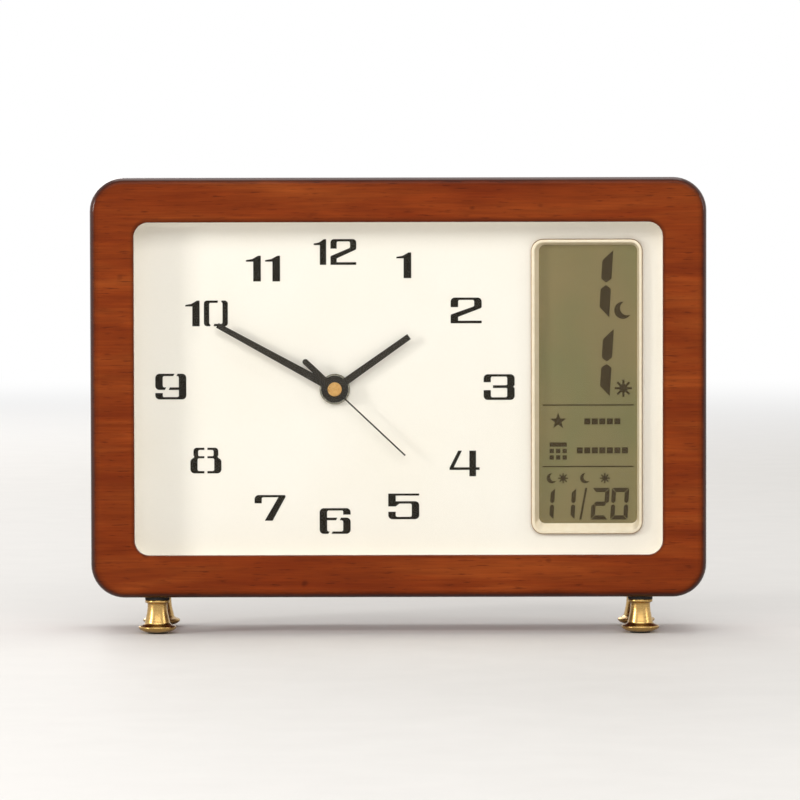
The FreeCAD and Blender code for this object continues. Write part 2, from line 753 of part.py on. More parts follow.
def make_screw(kind, length):
    """A round-headed slotted wood screw that points to the front, its origin under the head."""
    shank, head, rise = f"{kind}_radius", f"{kind}_head", f"{kind}_rise"
    points = [
        (f"0 - {length}", "0"),
        (f"{rise}", "0"),
        (f"{rise}", f"{head} / 2"),
        ("0", head),
        ("0", shank),
        (f"screw_point - {length}", shank),
    ]
    body = prototype_of(kind, "YZ_Plane", "H_Axis", list(reversed(points)))
    slot = facing(body, f"{rise} - screw_slot_depth")
    add_rectangle(slot, f"2 * {head}", "screw_slot_width", "screw_slot_width / 4")
    pocket(body, slot, "screw_slot_depth")
    return body


def make_back_cover():
    """The thin panel that closes the back, open behind the movement and the calendar."""
    width, height = f"{COVER_WIDTH} - 2 * cover_fit", f"{COVER_HEIGHT} - 2 * cover_fit"
    corner = f"{COVER_CORNER} - cover_fit"
    body = plate("back_cover", width, height, corner, "cover_thickness", back=COVER_FRONT, up=MIDDLE)
    access = facing(body)
    side = "movement_side + 2 * window_to_movement"
    add_rectangle(access, side, side, "access_corner", HAND_RIGHT, "0 - hand_drop")
    width = f"{MODULE_WIDTH} - 2 * calendar_access_side"
    height = f"{MODULE_HEIGHT} - 2 * calendar_access_end"
    add_rectangle(access, width, height, "access_corner", DISPLAY_RIGHT)
    pocket(body, access, "cover_thickness")
    holes = facing(body)
    for right, up in BLOCKS:
        add_circle(holes, "cover_screw_radius", right, up)
    pocket(body, holes, "cover_thickness")


def make_feet():
    """Four turned brass feet with a washer, a steel stud and a felt pad each."""
    top = "foot_height"
    rim = "( foot_height - foot_rim_height )"
    groove = "( foot_flange_height + foot_groove_height )"
    recess = "( foot_pad_thickness - foot_pad_drop )"
    outline = [
        ("0", recess),
        ("foot_pad_radius", recess),
        ("foot_pad_radius", "0"),
        ("foot_base_radius", "0", "2 * foot_edge_height + foot_flange_edge"),
        ("foot_flange_radius", "foot_edge_height"),
        ("foot_flange_radius", "foot_edge_height + foot_flange_edge"),
        ("foot_groove_radius", "foot_flange_height"),
        ("foot_groove_radius", groove),
        ("foot_flare_radius", groove),
        ("foot_neck_radius", f"{groove} + foot_flare_rise"),
        ("foot_neck_radius", rim),
        ("foot_rim_radius", rim),
        ("foot_rim_radius", top),
        ("stud_radius", top),
        ("stud_radius", f"{top} - stud_depth"),
        ("0", f"{top} - stud_depth"),
    ]
    places = []
    for row, back in (("front", -1), ("rear", 1)):
        for name, side in (("left", -1), ("right", 1)):
            right, depth = f"{side} * {FOOT_SPREAD} / 2", f"{back} * {FOOT_REACH} / 2"
            foot = new_body(f"foot_{row}_{name}", right, depth, "foot_pad_drop")
            turned(foot, "XZ_Plane", "V_Axis", outline)
            places.append((right, depth))

    washer = doc.addObject("PartDesign::Body", "washer")
    ring = sketch_on(washer, "XY_Plane")
    add_circle(ring, "foot_rim_radius")
    add_circle(ring, "stud_radius")
    pad(washer, ring, "foot_washer_thickness", backwards=False)
    above = "foot_pad_drop + foot_height"
    group("foot_washers", washer, [(right, back, above) for right, back in places])

    stud = doc.addObject("Part::Cylinder", "stud")
    stud.setExpression("Radius", sizes("stud_radius"))
    stud.setExpression("Height", sizes("2 * stud_depth + foot_washer_thickness"))
    below = "foot_pad_drop + foot_height - stud_depth"
    group("foot_studs", stud, [(right, back, below) for right, back in places])

    felt = doc.addObject("Part::Cylinder", "felt")
    felt.setExpression("Radius", sizes("foot_pad_radius"))
    felt.setExpression("Height", sizes("foot_pad_thickness"))
    group("foot_pads", felt, [(right, back, "0") for right, back in places])


def make_glass_and_dial():
    """Everything that drops into the front board's seat, and the board that holds it there."""
    width, height = f"{SEAT_WIDTH} - 2 * fit", f"{SEAT_HEIGHT} - 2 * fit"
    corner = f"{SEAT_CORNER} - fit"
    plate("glass_lens", width, height, corner, "lens_thickness", back=LENS_FRONT, up=WINDOW_MIDDLE)

    spacer = plate("lens_spacer", width, height, corner, "spacer_depth", back=LENS_BACK, up=WINDOW_MIDDLE)
    opening = facing(spacer)
    clear_width = f"{WINDOW_WIDTH} + 2 * spacer_setback"
    clear_height = f"{WINDOW_HEIGHT} + 2 * spacer_setback"
    add_rectangle(opening, clear_width, clear_height, "window_corner + spacer_setback")
    pocket(spacer, opening, "spacer_depth")

    dial = plate("dial_plate", width, height, corner, "dial_thickness", back=DIAL_FRONT, up=WINDOW_MIDDLE)
    opening = facing(dial)
    skirt_width, skirt_height = f"{SKIRT_WIDTH} + 2 * fit", f"{SKIRT_HEIGHT} + 2 * fit"
    skirt_corner = f"{SKIRT_CORNER} + fit"
    add_rectangle(opening, skirt_width, skirt_height, skirt_corner, DISPLAY_RIGHT, "window_drop")
    add_circle(opening, "bushing_radius + hole_fit", HAND_RIGHT, "window_drop - hand_drop")
    pocket(dial, opening, "dial_thickness")

    width, height = f"{CAVITY_WIDTH} - 2 * backer_fit", f"{CAVITY_HEIGHT} - 2 * backer_fit"
    backer = plate(
        "dial_backer", width, height, "cavity_corner", "backer_thickness", back=DIAL_BACK, up=MIDDLE
    )
    opening = facing(backer)
    panel_width, panel_height = f"{PANEL_WIDTH} + 2 * panel_fit", f"{PANEL_HEIGHT} + 2 * panel_fit"
    add_rectangle(opening, panel_width, panel_height, "panel_fit", DISPLAY_RIGHT)
    add_circle(opening, "bushing_radius + hole_fit", HAND_RIGHT, "0 - hand_drop")
    for right, up in BACKER_SCREWS + module_screw_places():
        add_circle(opening, "backer_screw_radius", right, up)
    pocket(backer, opening, "backer_thickness")

    screw = make_screw("backer_screw", "backer_screw_length")
    places = [(right, BACKER_BACK, f"{MIDDLE} + {up}") for right, up in BACKER_SCREWS]
    group("backer_screws", screw, places)


def module_screw_places():
    """The four ears of the calendar's housing, from the case's middle."""
    reach = f"( {MODULE_WIDTH} + ear_width ) / 2"
    rise = f"( {MODULE_HEIGHT} / 2 - ear_setback )"
    return [(f"{DISPLAY_RIGHT} + {side} * {reach}", f"{level} * {rise}") for side, level in CORNERS]


def rounded_face(corners):
    """A flat face in the XZ plane. Each corner is (right, up, rounding)."""
    places = [FreeCAD.Vector(right, 0, up) for right, up, rounding in corners]
    stops, arcs = [], []
    for index, here in enumerate(places):
        rounding = corners[index][2]
        back = (places[index - 1] - here).normalize()
        onward = (places[(index + 1) % len(places)] - here).normalize()
        if not rounding:
            stops.append((here, here))
            arcs.append(None)
            continue
        half = back.getAngle(onward) / 2
        run = rounding / math.tan(half)
        start, end = here + back * run, here + onward * run
        centre = here + (back + onward).normalize() * (rounding / math.sin(half))
        crest = centre + (here - centre).normalize() * rounding
        stops.append((start, end))
        arcs.append(Part.Arc(start, crest, end).toShape())
    edges = []
    for index, (start, end) in enumerate(stops):
        if arcs[index]:
            edges.append(arcs[index])
        edges.append(Part.makeLine(end, stops[(index + 1) % len(stops)][0]))
    return Part.Face(Part.Wire(edges))


def round_face(radius, right, up):
    """A round flat face in the XZ plane."""
    centre = FreeCAD.Vector(right, 0, up)
    return Part.Face(Part.Wire(Part.makeCircle(radius, centre, FreeCAD.Vector(0, 1, 0))))


def digit_outlines(digit):
    """A digit's outlines in shares; 9 is 6 turned half round, and 8 is one half and its mirror."""
    if digit == "9":
        outlines = []
        for outline in DIGIT_SHARES["6"]:
            outlines.append([(1 - corner[0], 1 - corner[1], *corner[2:]) for corner in outline])
        return outlines
    if digit == "8":
        half = DIGIT_SHARES["8"][0]
        return [half, [(1 - corner[0], *corner[1:]) for corner in half]]
    return DIGIT_SHARES[digit]


def digit_faces(digit, left, bottom, width, height, rounding):
    """The faces of one printed digit."""
    faces = []
    for outline in digit_outlines(digit):
        corners = []
        for across, up, *share in outline:
            corner = rounding * share[0] if share else 0
            corners.append((left + across * width, bottom + up * height, corner))
        faces.append(rounded_face(corners))
    return faces


def printed(label, faces, front, right, up):
    """Ink or liquid crystal as thin solids that lie on a front face."""
    thickness = size("print_thickness")
    solids = [face.extrude(FreeCAD.Vector(0, thickness, 0)) for face in faces]
    feature = doc.addObject("Part::Feature", label)
    feature.Shape = Part.Compound(solids)
    place_of = FreeCAD.Vector(calc(sizes(right)), calc(sizes(front)) - thickness, calc(sizes(up)))
    feature.Placement = FreeCAD.Placement(place_of, FreeCAD.Rotation())
    return keep(feature, label)


def make_numerals():
    """The twelve stencil numerals round the hands."""
    faces = []
    gap = NUMERAL_GAP_SHARE * size("numeral_width")
    height = size("numeral_height")
    reach, rise = size("numeral_reach"), calc(sizes(NUMERAL_RISE))
    for across, up, digits in NUMERAL_SHARES.values():
        widths = [width * size("numeral_width") for digit, width in digits]
        left = across * reach - (sum(widths) + gap * (len(widths) - 1)) / 2
        bottom = up * rise - height / 2
        for (digit, share_of_width), width in zip(digits, widths):
            rounding = size("numeral_round") * share_of_width
            faces += digit_faces(digit, left, bottom, width, height, rounding)
            left += width + gap
    printed("dial_numerals", faces, DIAL_FRONT, HAND_RIGHT, HAND_UP)


def make_hands():
    """Three flat hands and the cap on the second hand, each at the angle that the dial shows."""
    where = {"right": HAND_RIGHT, "up": HAND_UP}
    for name, bore in (("hour", "hour_tube"), ("minute", "minute_tube")):
        back = f"{DIAL_FRONT} - {name}_rise - {name}_thickness"
        hand = new_body(f"{name}_hand", back=back, turn=f"{name}_angle", **where)
        blade = facing(hand)
        root, tip = f"{name}_root_width / 2", f"{name}_tip_width / 2"
        outline = [
            (f"0 - {root}", "0"),
            (root, "0"),
            (tip, f"{name}_length"),
            (f"0 - {tip}", f"{name}_length"),
        ]
        add_outline(blade, outline)
        pad(hand, blade, f"{name}_thickness")
        hub = facing(hand)
        add_circle(hub, f"{name}_hub")
        pad(hand, hub, f"{name}_thickness")
        hole = facing(hand)
        add_circle(hole, bore)
        pocket(hand, hole, f"{name}_thickness")

    back = f"{DIAL_FRONT} - second_rise - second_thickness"
    hand = new_body("second_hand", back=back, turn="second_angle", **where)
    blade = facing(hand)
    tail_side = "second_tail_width / 2"
    tail_end = "0 - ( second_tail - second_tail_width / 2 )"
    outline = [
        ("0 - second_width / 2", "0"),
        (f"0 - {tail_side}", "0 - second_hub"),
        (f"0 - {tail_side}", tail_end),
        (tail_side, tail_end),
        (tail_side, "0 - second_hub"),
        ("second_width / 2", "0"),
        ("second_width / 2", "second_length"),
        ("0 - second_width / 2", "second_length"),
    ]
    add_outline(blade, outline)
    pad(hand, blade, "second_thickness")
    for radius, up in (("second_hub", "0"), (tail_side, tail_end)):
        disc = facing(hand)
        add_circle(disc, radius, up=up)
        pad(hand, disc, "second_thickness")
    hole = facing(hand)
    add_circle(hole, "second_shaft")
    pocket(hand, hole, "second_thickness")

    front = f"{DIAL_FRONT} - second_rise - second_thickness - cap_height"
    cap = new_body("second_hand_cap", back=front, **where)
    outline = [
        ("cap_height", "second_shaft"),
        ("cap_height", "cap_radius"),
        ("cap_dome", "cap_radius"),
        ("0", "cap_radius - cap_dome"),
        ("0", "0"),
        ("cap_height - 2 * tube_proud", "0"),
        ("cap_height - 2 * tube_proud", "second_shaft"),
    ]
    turned_along_y(cap, list(reversed(outline)))


# depths of the train's layers behind the movement's front face
LAYER = "( wheel_thickness + wheel_gap )"
HOUR_LAYER = "( movement_wall + wheel_gap )"
MINUTE_LAYER = f"( {HOUR_LAYER} + {LAYER} )"
CENTRE_LAYER = f"( {MINUTE_LAYER} + {LAYER} )"
THIRD_LAYER = f"( {CENTRE_LAYER} + {LAYER} )"
SECOND_LAYER = f"( {THIRD_LAYER} + {LAYER} )"
INTERMEDIATE_LAYER = f"( {SECOND_LAYER} + {LAYER} )"
MAGNET_LAYER = f"( {INTERMEDIATE_LAYER} + {LAYER} )"
BRIDGE_LAYER = f"( {MAGNET_LAYER} + magnet_height + wheel_gap )"
HOUSING_DEPTH = "( movement_depth - movement_wall )"
BUSHING = f"( {MOVEMENT_FRONT} - {DIAL_FRONT} + washer_thickness + nut_thickness + bushing_proud )"

# axes of the train, from the hands' axis
MINUTE_AXIS = ("0 - minute_axis", "0")
SETTING_AXIS = ("0 - 2 * minute_axis", "0")
THIRD_AXIS = ("third_axis * cos( third_direction * 1 deg )", "third_axis * sin( third_direction * 1 deg )")
INTERMEDIATE_AXIS = (
    "intermediate_axis * cos( intermediate_direction * 1 deg )",
    "intermediate_axis * sin( intermediate_direction * 1 deg )",
)
ROTOR_AXIS = (
    f"{INTERMEDIATE_AXIS[0]} + rotor_axis * cos( rotor_direction * 1 deg )",
    f"{INTERMEDIATE_AXIS[1]} + rotor_axis * sin( rotor_direction * 1 deg )",
)
BAY_TOP = "( movement_wall + battery_bay - movement_side / 2 )"
BRIDGE_LEFT = "( movement_side / 2 - movement_wall )"
BRIDGE_RIGHT = "( movement_side / 2 - movement_wall - circuit_width - bridge_margin )"
BRIDGE_TOP = "( coil_height - coil_radius - wheel_gap )"
BRIDGE_BOTTOM = f"( {BAY_TOP} + bay_wall + wheel_gap )"


def make_movement_case():
    """The moulded tray with its threaded bushing, the bridge inside it and its back."""
    where = {"right": HAND_RIGHT, "back": MOVEMENT_FRONT, "up": HAND_UP}
    side, corner = "movement_side", "movement_corner"
    tray = plate("movement_housing", side, side, corner, HOUSING_DEPTH, **where)
    inside = "movement_side - 2 * movement_wall"
    room = facing(tray, "movement_wall")
    add_rectangle(room, inside, inside, "movement_corner - movement_wall")
    pocket(tray, room, f"{HOUSING_DEPTH} - movement_wall")
    wall = facing(tray, "movement_wall / 2")
    across, level = f"{inside} + movement_wall", f"{BAY_TOP} + bay_wall / 2"
    add_rectangle(wall, across, "bay_wall", "bay_wall / 4", up=level)
    pad(tray, wall, f"{HOUSING_DEPTH} - movement_wall / 2")
    bushing = facing(tray, "movement_wall / 2")
    add_circle(bushing, "bushing_radius")
    pad(tray, bushing, f"{BUSHING} + movement_wall / 2", backwards=False)
    bore = facing(tray, f"0 - {BUSHING}")
    add_circle(bore, "hour_tube + running_fit")
    pocket(tray, bore, f"{BUSHING} + movement_wall")
    post = facing(tray, "movement_wall / 2")
    add_circle(post, "post_radius", *MINUTE_AXIS)
    pad(tray, post, f"{MINUTE_LAYER} + wheel_thickness - movement_wall / 2")
    bosses = (
        (THIRD_AXIS, CENTRE_LAYER),
        (INTERMEDIATE_AXIS, CENTRE_LAYER),
        (ROTOR_AXIS, INTERMEDIATE_LAYER),
        (SETTING_AXIS, MINUTE_LAYER),
    )
    for axis, layer in bosses:
        boss = facing(tray, "movement_wall / 2")
        add_circle(boss, "boss_radius", *axis)
        pad(tray, boss, f"{layer} - wheel_gap / 2 - movement_wall / 2")
        pivot = facing(tray, f"{layer} - wheel_gap / 2 - wheel_thickness")
        add_circle(pivot, "pivot_radius + running_fit", *axis)
        pocket(tray, pivot, "wheel_thickness")
    for right, up in bridge_posts():
        post = facing(tray, "movement_wall / 2")
        add_circle(post, "bridge_post_radius", right, up)
        pad(tray, post, f"{BRIDGE_LAYER} - movement_wall / 2")

    back = f"{MOVEMENT_FRONT} + {BRIDGE_LAYER}"
    bridge = new_body("gear_bridge", HAND_RIGHT, back, HAND_UP)
    outline = facing(bridge)
    add_outline(outline, [
        (f"0 - {BRIDGE_LEFT} + fit", BRIDGE_BOTTOM),
        (f"{BRIDGE_RIGHT} - fit", BRIDGE_BOTTOM),
        (f"{BRIDGE_RIGHT} - fit", BRIDGE_TOP),
        (f"0 - {BRIDGE_LEFT} + fit", BRIDGE_TOP),
    ])
    pad(bridge, outline, "bridge_thickness")
    for axis in (("0", "0"), THIRD_AXIS, INTERMEDIATE_AXIS, ROTOR_AXIS):
        pivot = facing(bridge)
        add_circle(pivot, "pivot_radius + running_fit", *axis)
        pocket(bridge, pivot, "bridge_thickness")
    hole = facing(bridge)
    add_circle(hole, "setting_shaft + running_fit", *SETTING_AXIS)
    pocket(bridge, hole, "bridge_thickness")

    back = f"{MOVEMENT_FRONT} + {HOUSING_DEPTH}"
    lid = new_body("movement_back", HAND_RIGHT, back, HAND_UP)
    outline = facing(lid)
    height = f"( movement_side / 2 - {BAY_TOP} )"
    add_rectangle(outline, "movement_side", height, "movement_corner / 2", up=f"{BAY_TOP} + {height} / 2")
    pad(lid, outline, "movement_wall")
    hole = facing(lid)
    add_circle(hole, "setting_shaft + running_fit", *SETTING_AXIS)
    pocket(lid, hole, "movement_wall")


def bridge_posts():
    """The four posts that carry the bridge, from the hands' axis."""
    left, right = f"0 - {BRIDGE_LEFT} + bridge_post_radius + fit", f"{BRIDGE_RIGHT} - bridge_margin / 2"
    low, high = f"{BRIDGE_BOTTOM} + bridge_margin / 2", f"{BRIDGE_TOP} - bridge_margin / 2"
    return [(left, low), (left, high), (right, low), (right, high)]


def make_dial_nut():
    """The rubber washer behind the dial and the washer and nut that clamp the movement to it."""
    where = {"right": HAND_RIGHT, "up": HAND_UP}
    bore = "bushing_radius + hole_fit"
    round_disc("rubber_washer", "rubber_radius", "rubber_thickness", bore, back=BACKER_BACK, **where)
    back = f"{DIAL_FRONT} - washer_thickness"
    round_disc("nut_washer", "washer_radius", "washer_thickness", bore, back=back, **where)
    back = f"{DIAL_FRONT} - washer_thickness - nut_thickness"
    nut = new_body("mounting_nut", back=back, **where)
    outline = [
        ("0", "bushing_radius"),
        ("nut_thickness", "bushing_radius"),
        ("nut_thickness", "nut_radius"),
        ("nut_chamfer", "nut_radius"),
        ("0", "nut_radius - nut_chamfer"),
    ]
    turned_along_y(nut, outline)


def involute(angle):
    return math.tan(angle) - angle


def tooth_face(teeth, module, pointing):
    """A toothed disc's face in the XZ plane, with one tooth pointing at an angle from +X."""
    pitch = module * teeth / 2
    base = pitch * math.cos(PRESSURE_ANGLE)
    root, tip = pitch - DEDENDUM_SHARE * module, pitch + ADDENDUM_SHARE * module
    half_pitch_angle = math.pi / teeth / 2 * (1 - BACKLASH_SHARE)

    def half_angle(radius):
        pressure = math.acos(min(1, base / radius))
        return half_pitch_angle + involute(PRESSURE_ANGLE) - involute(pressure)

    flank = [(root, half_angle(root)), (pitch, half_angle(pitch)), (tip, half_angle(tip))]
    corners = []
    for tooth in range(teeth):
        middle = pointing + 2 * math.pi * tooth / teeth
        sides = [(radius, middle - half) for radius, half in flank]
        sides += [(radius, middle + half) for radius, half in reversed(flank)]
        for radius, angle in sides:
            corners.append(FreeCAD.Vector(radius * math.cos(angle), 0, radius * math.sin(angle)))
    return Part.Face(Part.makePolygon(corners + corners[:1]))


def toothed_disc(teeth, module, layer, pointing, thickness="wheel_thickness"):
    """A toothed disc that starts at a depth and runs to the back."""
    face = tooth_face(teeth, module, pointing)
    face.translate(FreeCAD.Vector(0, calc(sizes(layer)), 0))
    return face.extrude(FreeCAD.Vector(0, calc(sizes(thickness)), 0))


def round_bar(radius, start, end):
    """A round bar along Y between two depths."""
    first, last = calc(sizes(start)), calc(sizes(end))
    centre, backwards = FreeCAD.Vector(0, first, 0), FreeCAD.Vector(0, 1, 0)
    return Part.makeCylinder(calc(sizes(radius)), last - first, centre, backwards)


def mesh_module(axis_distance, one, other):
    """The module that makes two wheels mesh at a distance between their axes."""
    return 2 * calc(sizes(axis_distance)) / (one + other)


def direction(axis):
    """The angle from +X of an axis seen from the hands' axis, or between two axes."""
    right, up = (calc(sizes(item)) for item in axis)
    return math.atan2(up, right)


def between(axis, other):
    """The angle from +X at which one axis sees another."""
    return direction([f"( {there} ) - ( {here} )" for here, there in zip(axis, other)])


def gap_towards(angle, teeth):
    """Where a tooth points when a gap, not a tooth, faces an angle."""
    return angle + math.pi / teeth


def wheel(label, axis, solids, bores=()):
    """One wheel: its discs and bars fused, its bores cut, at its axis."""
    shape = solids[0].fuse(solids[1:]) if len(solids) > 1 else solids[0]
    if bores:
        shape = shape.cut(bores)
    feature = doc.addObject("Part::Feature", label)
    feature.Shape = shape.removeSplitter()
    right = calc(sizes(f"{HAND_RIGHT} + {axis[0]}"))
    up = calc(sizes(f"{HAND_UP} + {axis[1]}"))
    middle = FreeCAD.Vector(right, calc(sizes(MOVEMENT_FRONT)), up)
    feature.Placement = FreeCAD.Placement(middle, FreeCAD.Rotation())
    return keep(feature, label)


def make_motion_work():
    """The cannon pinion and the hour wheel behind the dial, and the wheel that joins them."""
    centre = ("0", "0")
    setting_module = mesh_module("minute_axis", CANNON_TEETH, MINUTE_TEETH)
    hour_module = mesh_module("minute_axis", MINUTE_PINION_TEETH, HOUR_TEETH)
    left = math.pi
    tube_end = f"{DIAL_FRONT} - {MOVEMENT_FRONT} - hour_rise - hour_thickness - tube_proud"
    disc = toothed_disc(HOUR_TEETH, hour_module, HOUR_LAYER, gap_towards(left, HOUR_TEETH))
    tube = round_bar("hour_tube", tube_end, f"{HOUR_LAYER} + wheel_thickness")
    bore = round_bar("minute_tube + running_fit", f"{tube_end} - fit", f"{HOUR_LAYER} + {LAYER}")
    wheel("hour_wheel", centre, [disc, tube], [bore])

    tube_end = f"{DIAL_FRONT} - {MOVEMENT_FRONT} - minute_rise - minute_thickness - tube_proud"
    pinion_end = f"{MINUTE_LAYER} + wheel_thickness"
    pinion = toothed_disc(CANNON_TEETH, setting_module, MINUTE_LAYER, gap_towards(left, CANNON_TEETH))
    tube = round_bar("minute_tube", tube_end, f"{MINUTE_LAYER}")
    bore = round_bar("second_shaft + running_fit", f"{tube_end} - fit", f"{pinion_end} + fit")
    wheel("cannon_pinion", centre, [pinion, tube], [bore])

    disc = toothed_disc(MINUTE_TEETH, setting_module, MINUTE_LAYER, 0)
    pinion = toothed_disc(MINUTE_PINION_TEETH, hour_module, HOUR_LAYER, 0)
    hub = round_bar("pivot_radius + post_radius", HOUR_LAYER, MINUTE_LAYER)
    bore = round_bar("post_radius + running_fit", "0", CENTRE_LAYER)
    wheel("minute_wheel", MINUTE_AXIS, [disc, pinion, hub], [bore])

    knob_front = "movement_depth + knob_clearance"
    gear = toothed_disc(SETTING_TEETH, setting_module, MINUTE_LAYER, math.pi / SETTING_TEETH)
    shaft = round_bar("setting_shaft", MINUTE_LAYER, f"{knob_front} + knob_height / 2")
    pivot = round_bar("pivot_radius", f"{MINUTE_LAYER} - wheel_gap", MINUTE_LAYER)
    wheel("setting_shaft", SETTING_AXIS, [gear, shaft, pivot])

    right, up = f"{HAND_RIGHT} + {SETTING_AXIS[0]}", f"{HAND_UP} + {SETTING_AXIS[1]}"
    knob = new_body("setting_knob", right, f"{MOVEMENT_FRONT} + {knob_front}", up)
    disc = facing(knob)
    add_circle(disc, "knob_radius")
    pad(knob, disc, "knob_height")
    hole = facing(knob)
    add_circle(hole, "setting_shaft")
    pocket(knob, hole, "knob_height / 2")
    flute = facing(knob)
    add_circle(flute, "knob_groove", "knob_radius")
    cut = pocket(knob, flute, "knob_height")
    pattern = knob.newObject("PartDesign::PolarPattern", "knob_flutes")
    pattern.Originals = [cut]
    pattern.Axis = (flute, ["N_Axis"])
    pattern.Angle = 360
    pattern.Occurrences = KNOB_GROOVE_COUNT
    knob.Tip = pattern


def make_going_train():
    """From the magnet rotor to the second wheel, and on to the centre wheel."""
    fine = mesh_module("third_axis", SECOND_PINION_TEETH, THIRD_TEETH)
    coarse = mesh_module("third_axis", THIRD_PINION_TEETH, CENTRE_TEETH)
    drive = mesh_module("intermediate_axis", INTERMEDIATE_PINION_TEETH, SECOND_TEETH)
    quick = mesh_module("rotor_axis", ROTOR_TEETH, INTERMEDIATE_TEETH)
    centre = ("0", "0")
    to_third, to_intermediate = direction(THIRD_AXIS), direction(INTERMEDIATE_AXIS)
    to_rotor = between(INTERMEDIATE_AXIS, ROTOR_AXIS)
    bridge_end = f"{BRIDGE_LAYER} + bridge_thickness"

    disc = toothed_disc(CENTRE_TEETH, coarse, CENTRE_LAYER, to_third)
    bore = round_bar("second_shaft + running_fit", MINUTE_LAYER, THIRD_LAYER)
    wheel("centre_wheel", centre, [disc], [bore])

    span = f"{THIRD_LAYER} - {CENTRE_LAYER} + wheel_thickness"
    disc = toothed_disc(THIRD_TEETH, fine, THIRD_LAYER, to_third)
    facing_centre = gap_towards(to_third + math.pi, THIRD_PINION_TEETH)
    pinion = toothed_disc(THIRD_PINION_TEETH, coarse, CENTRE_LAYER, facing_centre, span)
    arbor = round_bar("pivot_radius", f"{CENTRE_LAYER} - wheel_gap", bridge_end)
    wheel("third_wheel", THIRD_AXIS, [disc, pinion, arbor])

    span = f"{SECOND_LAYER} - {THIRD_LAYER} + wheel_thickness"
    disc = toothed_disc(SECOND_TEETH, drive, SECOND_LAYER, to_intermediate)
    facing_third = gap_towards(to_third, SECOND_PINION_TEETH)
    pinion = toothed_disc(SECOND_PINION_TEETH, fine, THIRD_LAYER, facing_third, span)
    tip = f"{DIAL_FRONT} - {MOVEMENT_FRONT} - second_rise - second_thickness - 2 * tube_proud"
    shaft = round_bar("second_shaft", tip, THIRD_LAYER)
    arbor = round_bar("pivot_radius", THIRD_LAYER, bridge_end)
    wheel("second_wheel", centre, [disc, pinion, shaft, arbor])

    span = f"{INTERMEDIATE_LAYER} - {SECOND_LAYER} + wheel_thickness"
    disc = toothed_disc(INTERMEDIATE_TEETH, quick, INTERMEDIATE_LAYER, to_rotor)
    facing_second = gap_towards(to_intermediate + math.pi, INTERMEDIATE_PINION_TEETH)
    pinion = toothed_disc(INTERMEDIATE_PINION_TEETH, drive, SECOND_LAYER, facing_second, span)
    arbor = round_bar("pivot_radius", f"{CENTRE_LAYER} - wheel_gap", bridge_end)
    wheel("intermediate_wheel", INTERMEDIATE_AXIS, [disc, pinion, arbor])

    span = f"{MAGNET_LAYER} - {INTERMEDIATE_LAYER}"
    pointing = gap_towards(to_rotor + math.pi, ROTOR_TEETH)
    pinion = toothed_disc(ROTOR_TEETH, quick, INTERMEDIATE_LAYER, pointing, span)
    magnet = round_bar("magnet_radius", MAGNET_LAYER, f"{MAGNET_LAYER} + magnet_height")
    arbor = round_bar("pivot_radius", f"{INTERMEDIATE_LAYER} - wheel_gap", bridge_end)
    wheel("rotor", ROTOR_AXIS, [pinion, magnet, arbor])


def make_motor():
    """Stator, coil and circuit of the stepping motor, and the cell that runs it."""
    level = f"{MOVEMENT_FRONT} + {MAGNET_LAYER} + ( magnet_height - stator_thickness ) / 2"
    stator = new_body("stator", HAND_RIGHT, level, HAND_UP)
    right, up = ROTOR_AXIS
    ring = facing(stator)
    add_circle(ring, "magnet_radius + stator_gap + stator_ring", right, up)
    pad(stator, ring, "stator_thickness")
    bar = facing(stator)
    add_rectangle(bar, "stator_length", "stator_width", "stator_ring / 2", right, up)
    pad(stator, bar, "stator_thickness")
    leg_height = f"( coil_height + core_width / 2 - ( {up} ) + stator_width / 2 )"
    for side in (-1, 1):
        leg = facing(stator)
        across = f"{right} + {side} * ( stator_length - stator_leg ) / 2"
        above = f"{up} - stator_width / 2 + {leg_height} / 2"
        add_rectangle(leg, "stator_leg", leg_height, "stator_ring / 2", across, above)
        pad(stator, leg, "stator_thickness")
    hole = facing(stator)
    add_circle(hole, "magnet_radius + stator_gap", right, up)
    pocket(stator, hole, "stator_thickness")

    across = f"{HAND_RIGHT} + {right}"
    height = f"{HAND_UP} + coil_height"
    behind = f"{level} + stator_thickness"
    core = box_along("core", "stator_length", "stator_thickness", "core_width", across, behind, height)
    keep(core, "coil_core")

    span = "( stator_length - 2 * stator_leg - 2 * stator_gap )"
    middle = f"{behind} + stator_thickness / 2"
    bobbin = doc.addObject("Part::Cylinder", "bobbin")
    bobbin.setExpression("Radius", sizes("coil_radius"))
    bobbin.setExpression("Height", sizes(span))
    lying = FreeCAD.Rotation(FreeCAD.Vector(0, 1, 0), 90)
    bobbin.Placement = FreeCAD.Placement(FreeCAD.Vector(), lying)
    for axis, expression in zip("xyz", (f"{across} - {span} / 2", middle, height)):
        bobbin.setExpression(f"Placement.Base.{axis}", sizes(expression))
    winding = doc.addObject("Part::Cut", "winding")
    winding.Base = bobbin
    winding.Tool = core
    keep(winding, "coil_winding")

    across = f"{HAND_RIGHT} + movement_side / 2 - movement_wall - fit - circuit_width / 2"
    board = f"{MOVEMENT_FRONT} + {BRIDGE_LAYER}"
    height = f"{HAND_UP} + {BRIDGE_BOTTOM} + circuit_height / 2"
    circuit = box_along(
        "circuit", "circuit_width", "circuit_thickness", "circuit_height", across, board, height
    )
    keep(circuit, "movement_circuit")
    crystal = doc.addObject("Part::Cylinder", "crystal")
    crystal.setExpression("Radius", sizes("crystal_radius"))
    crystal.setExpression("Height", sizes("crystal_length"))
    place(crystal, across, f"{board} + circuit_thickness + crystal_radius", height)
    keep(crystal, "quartz_crystal")


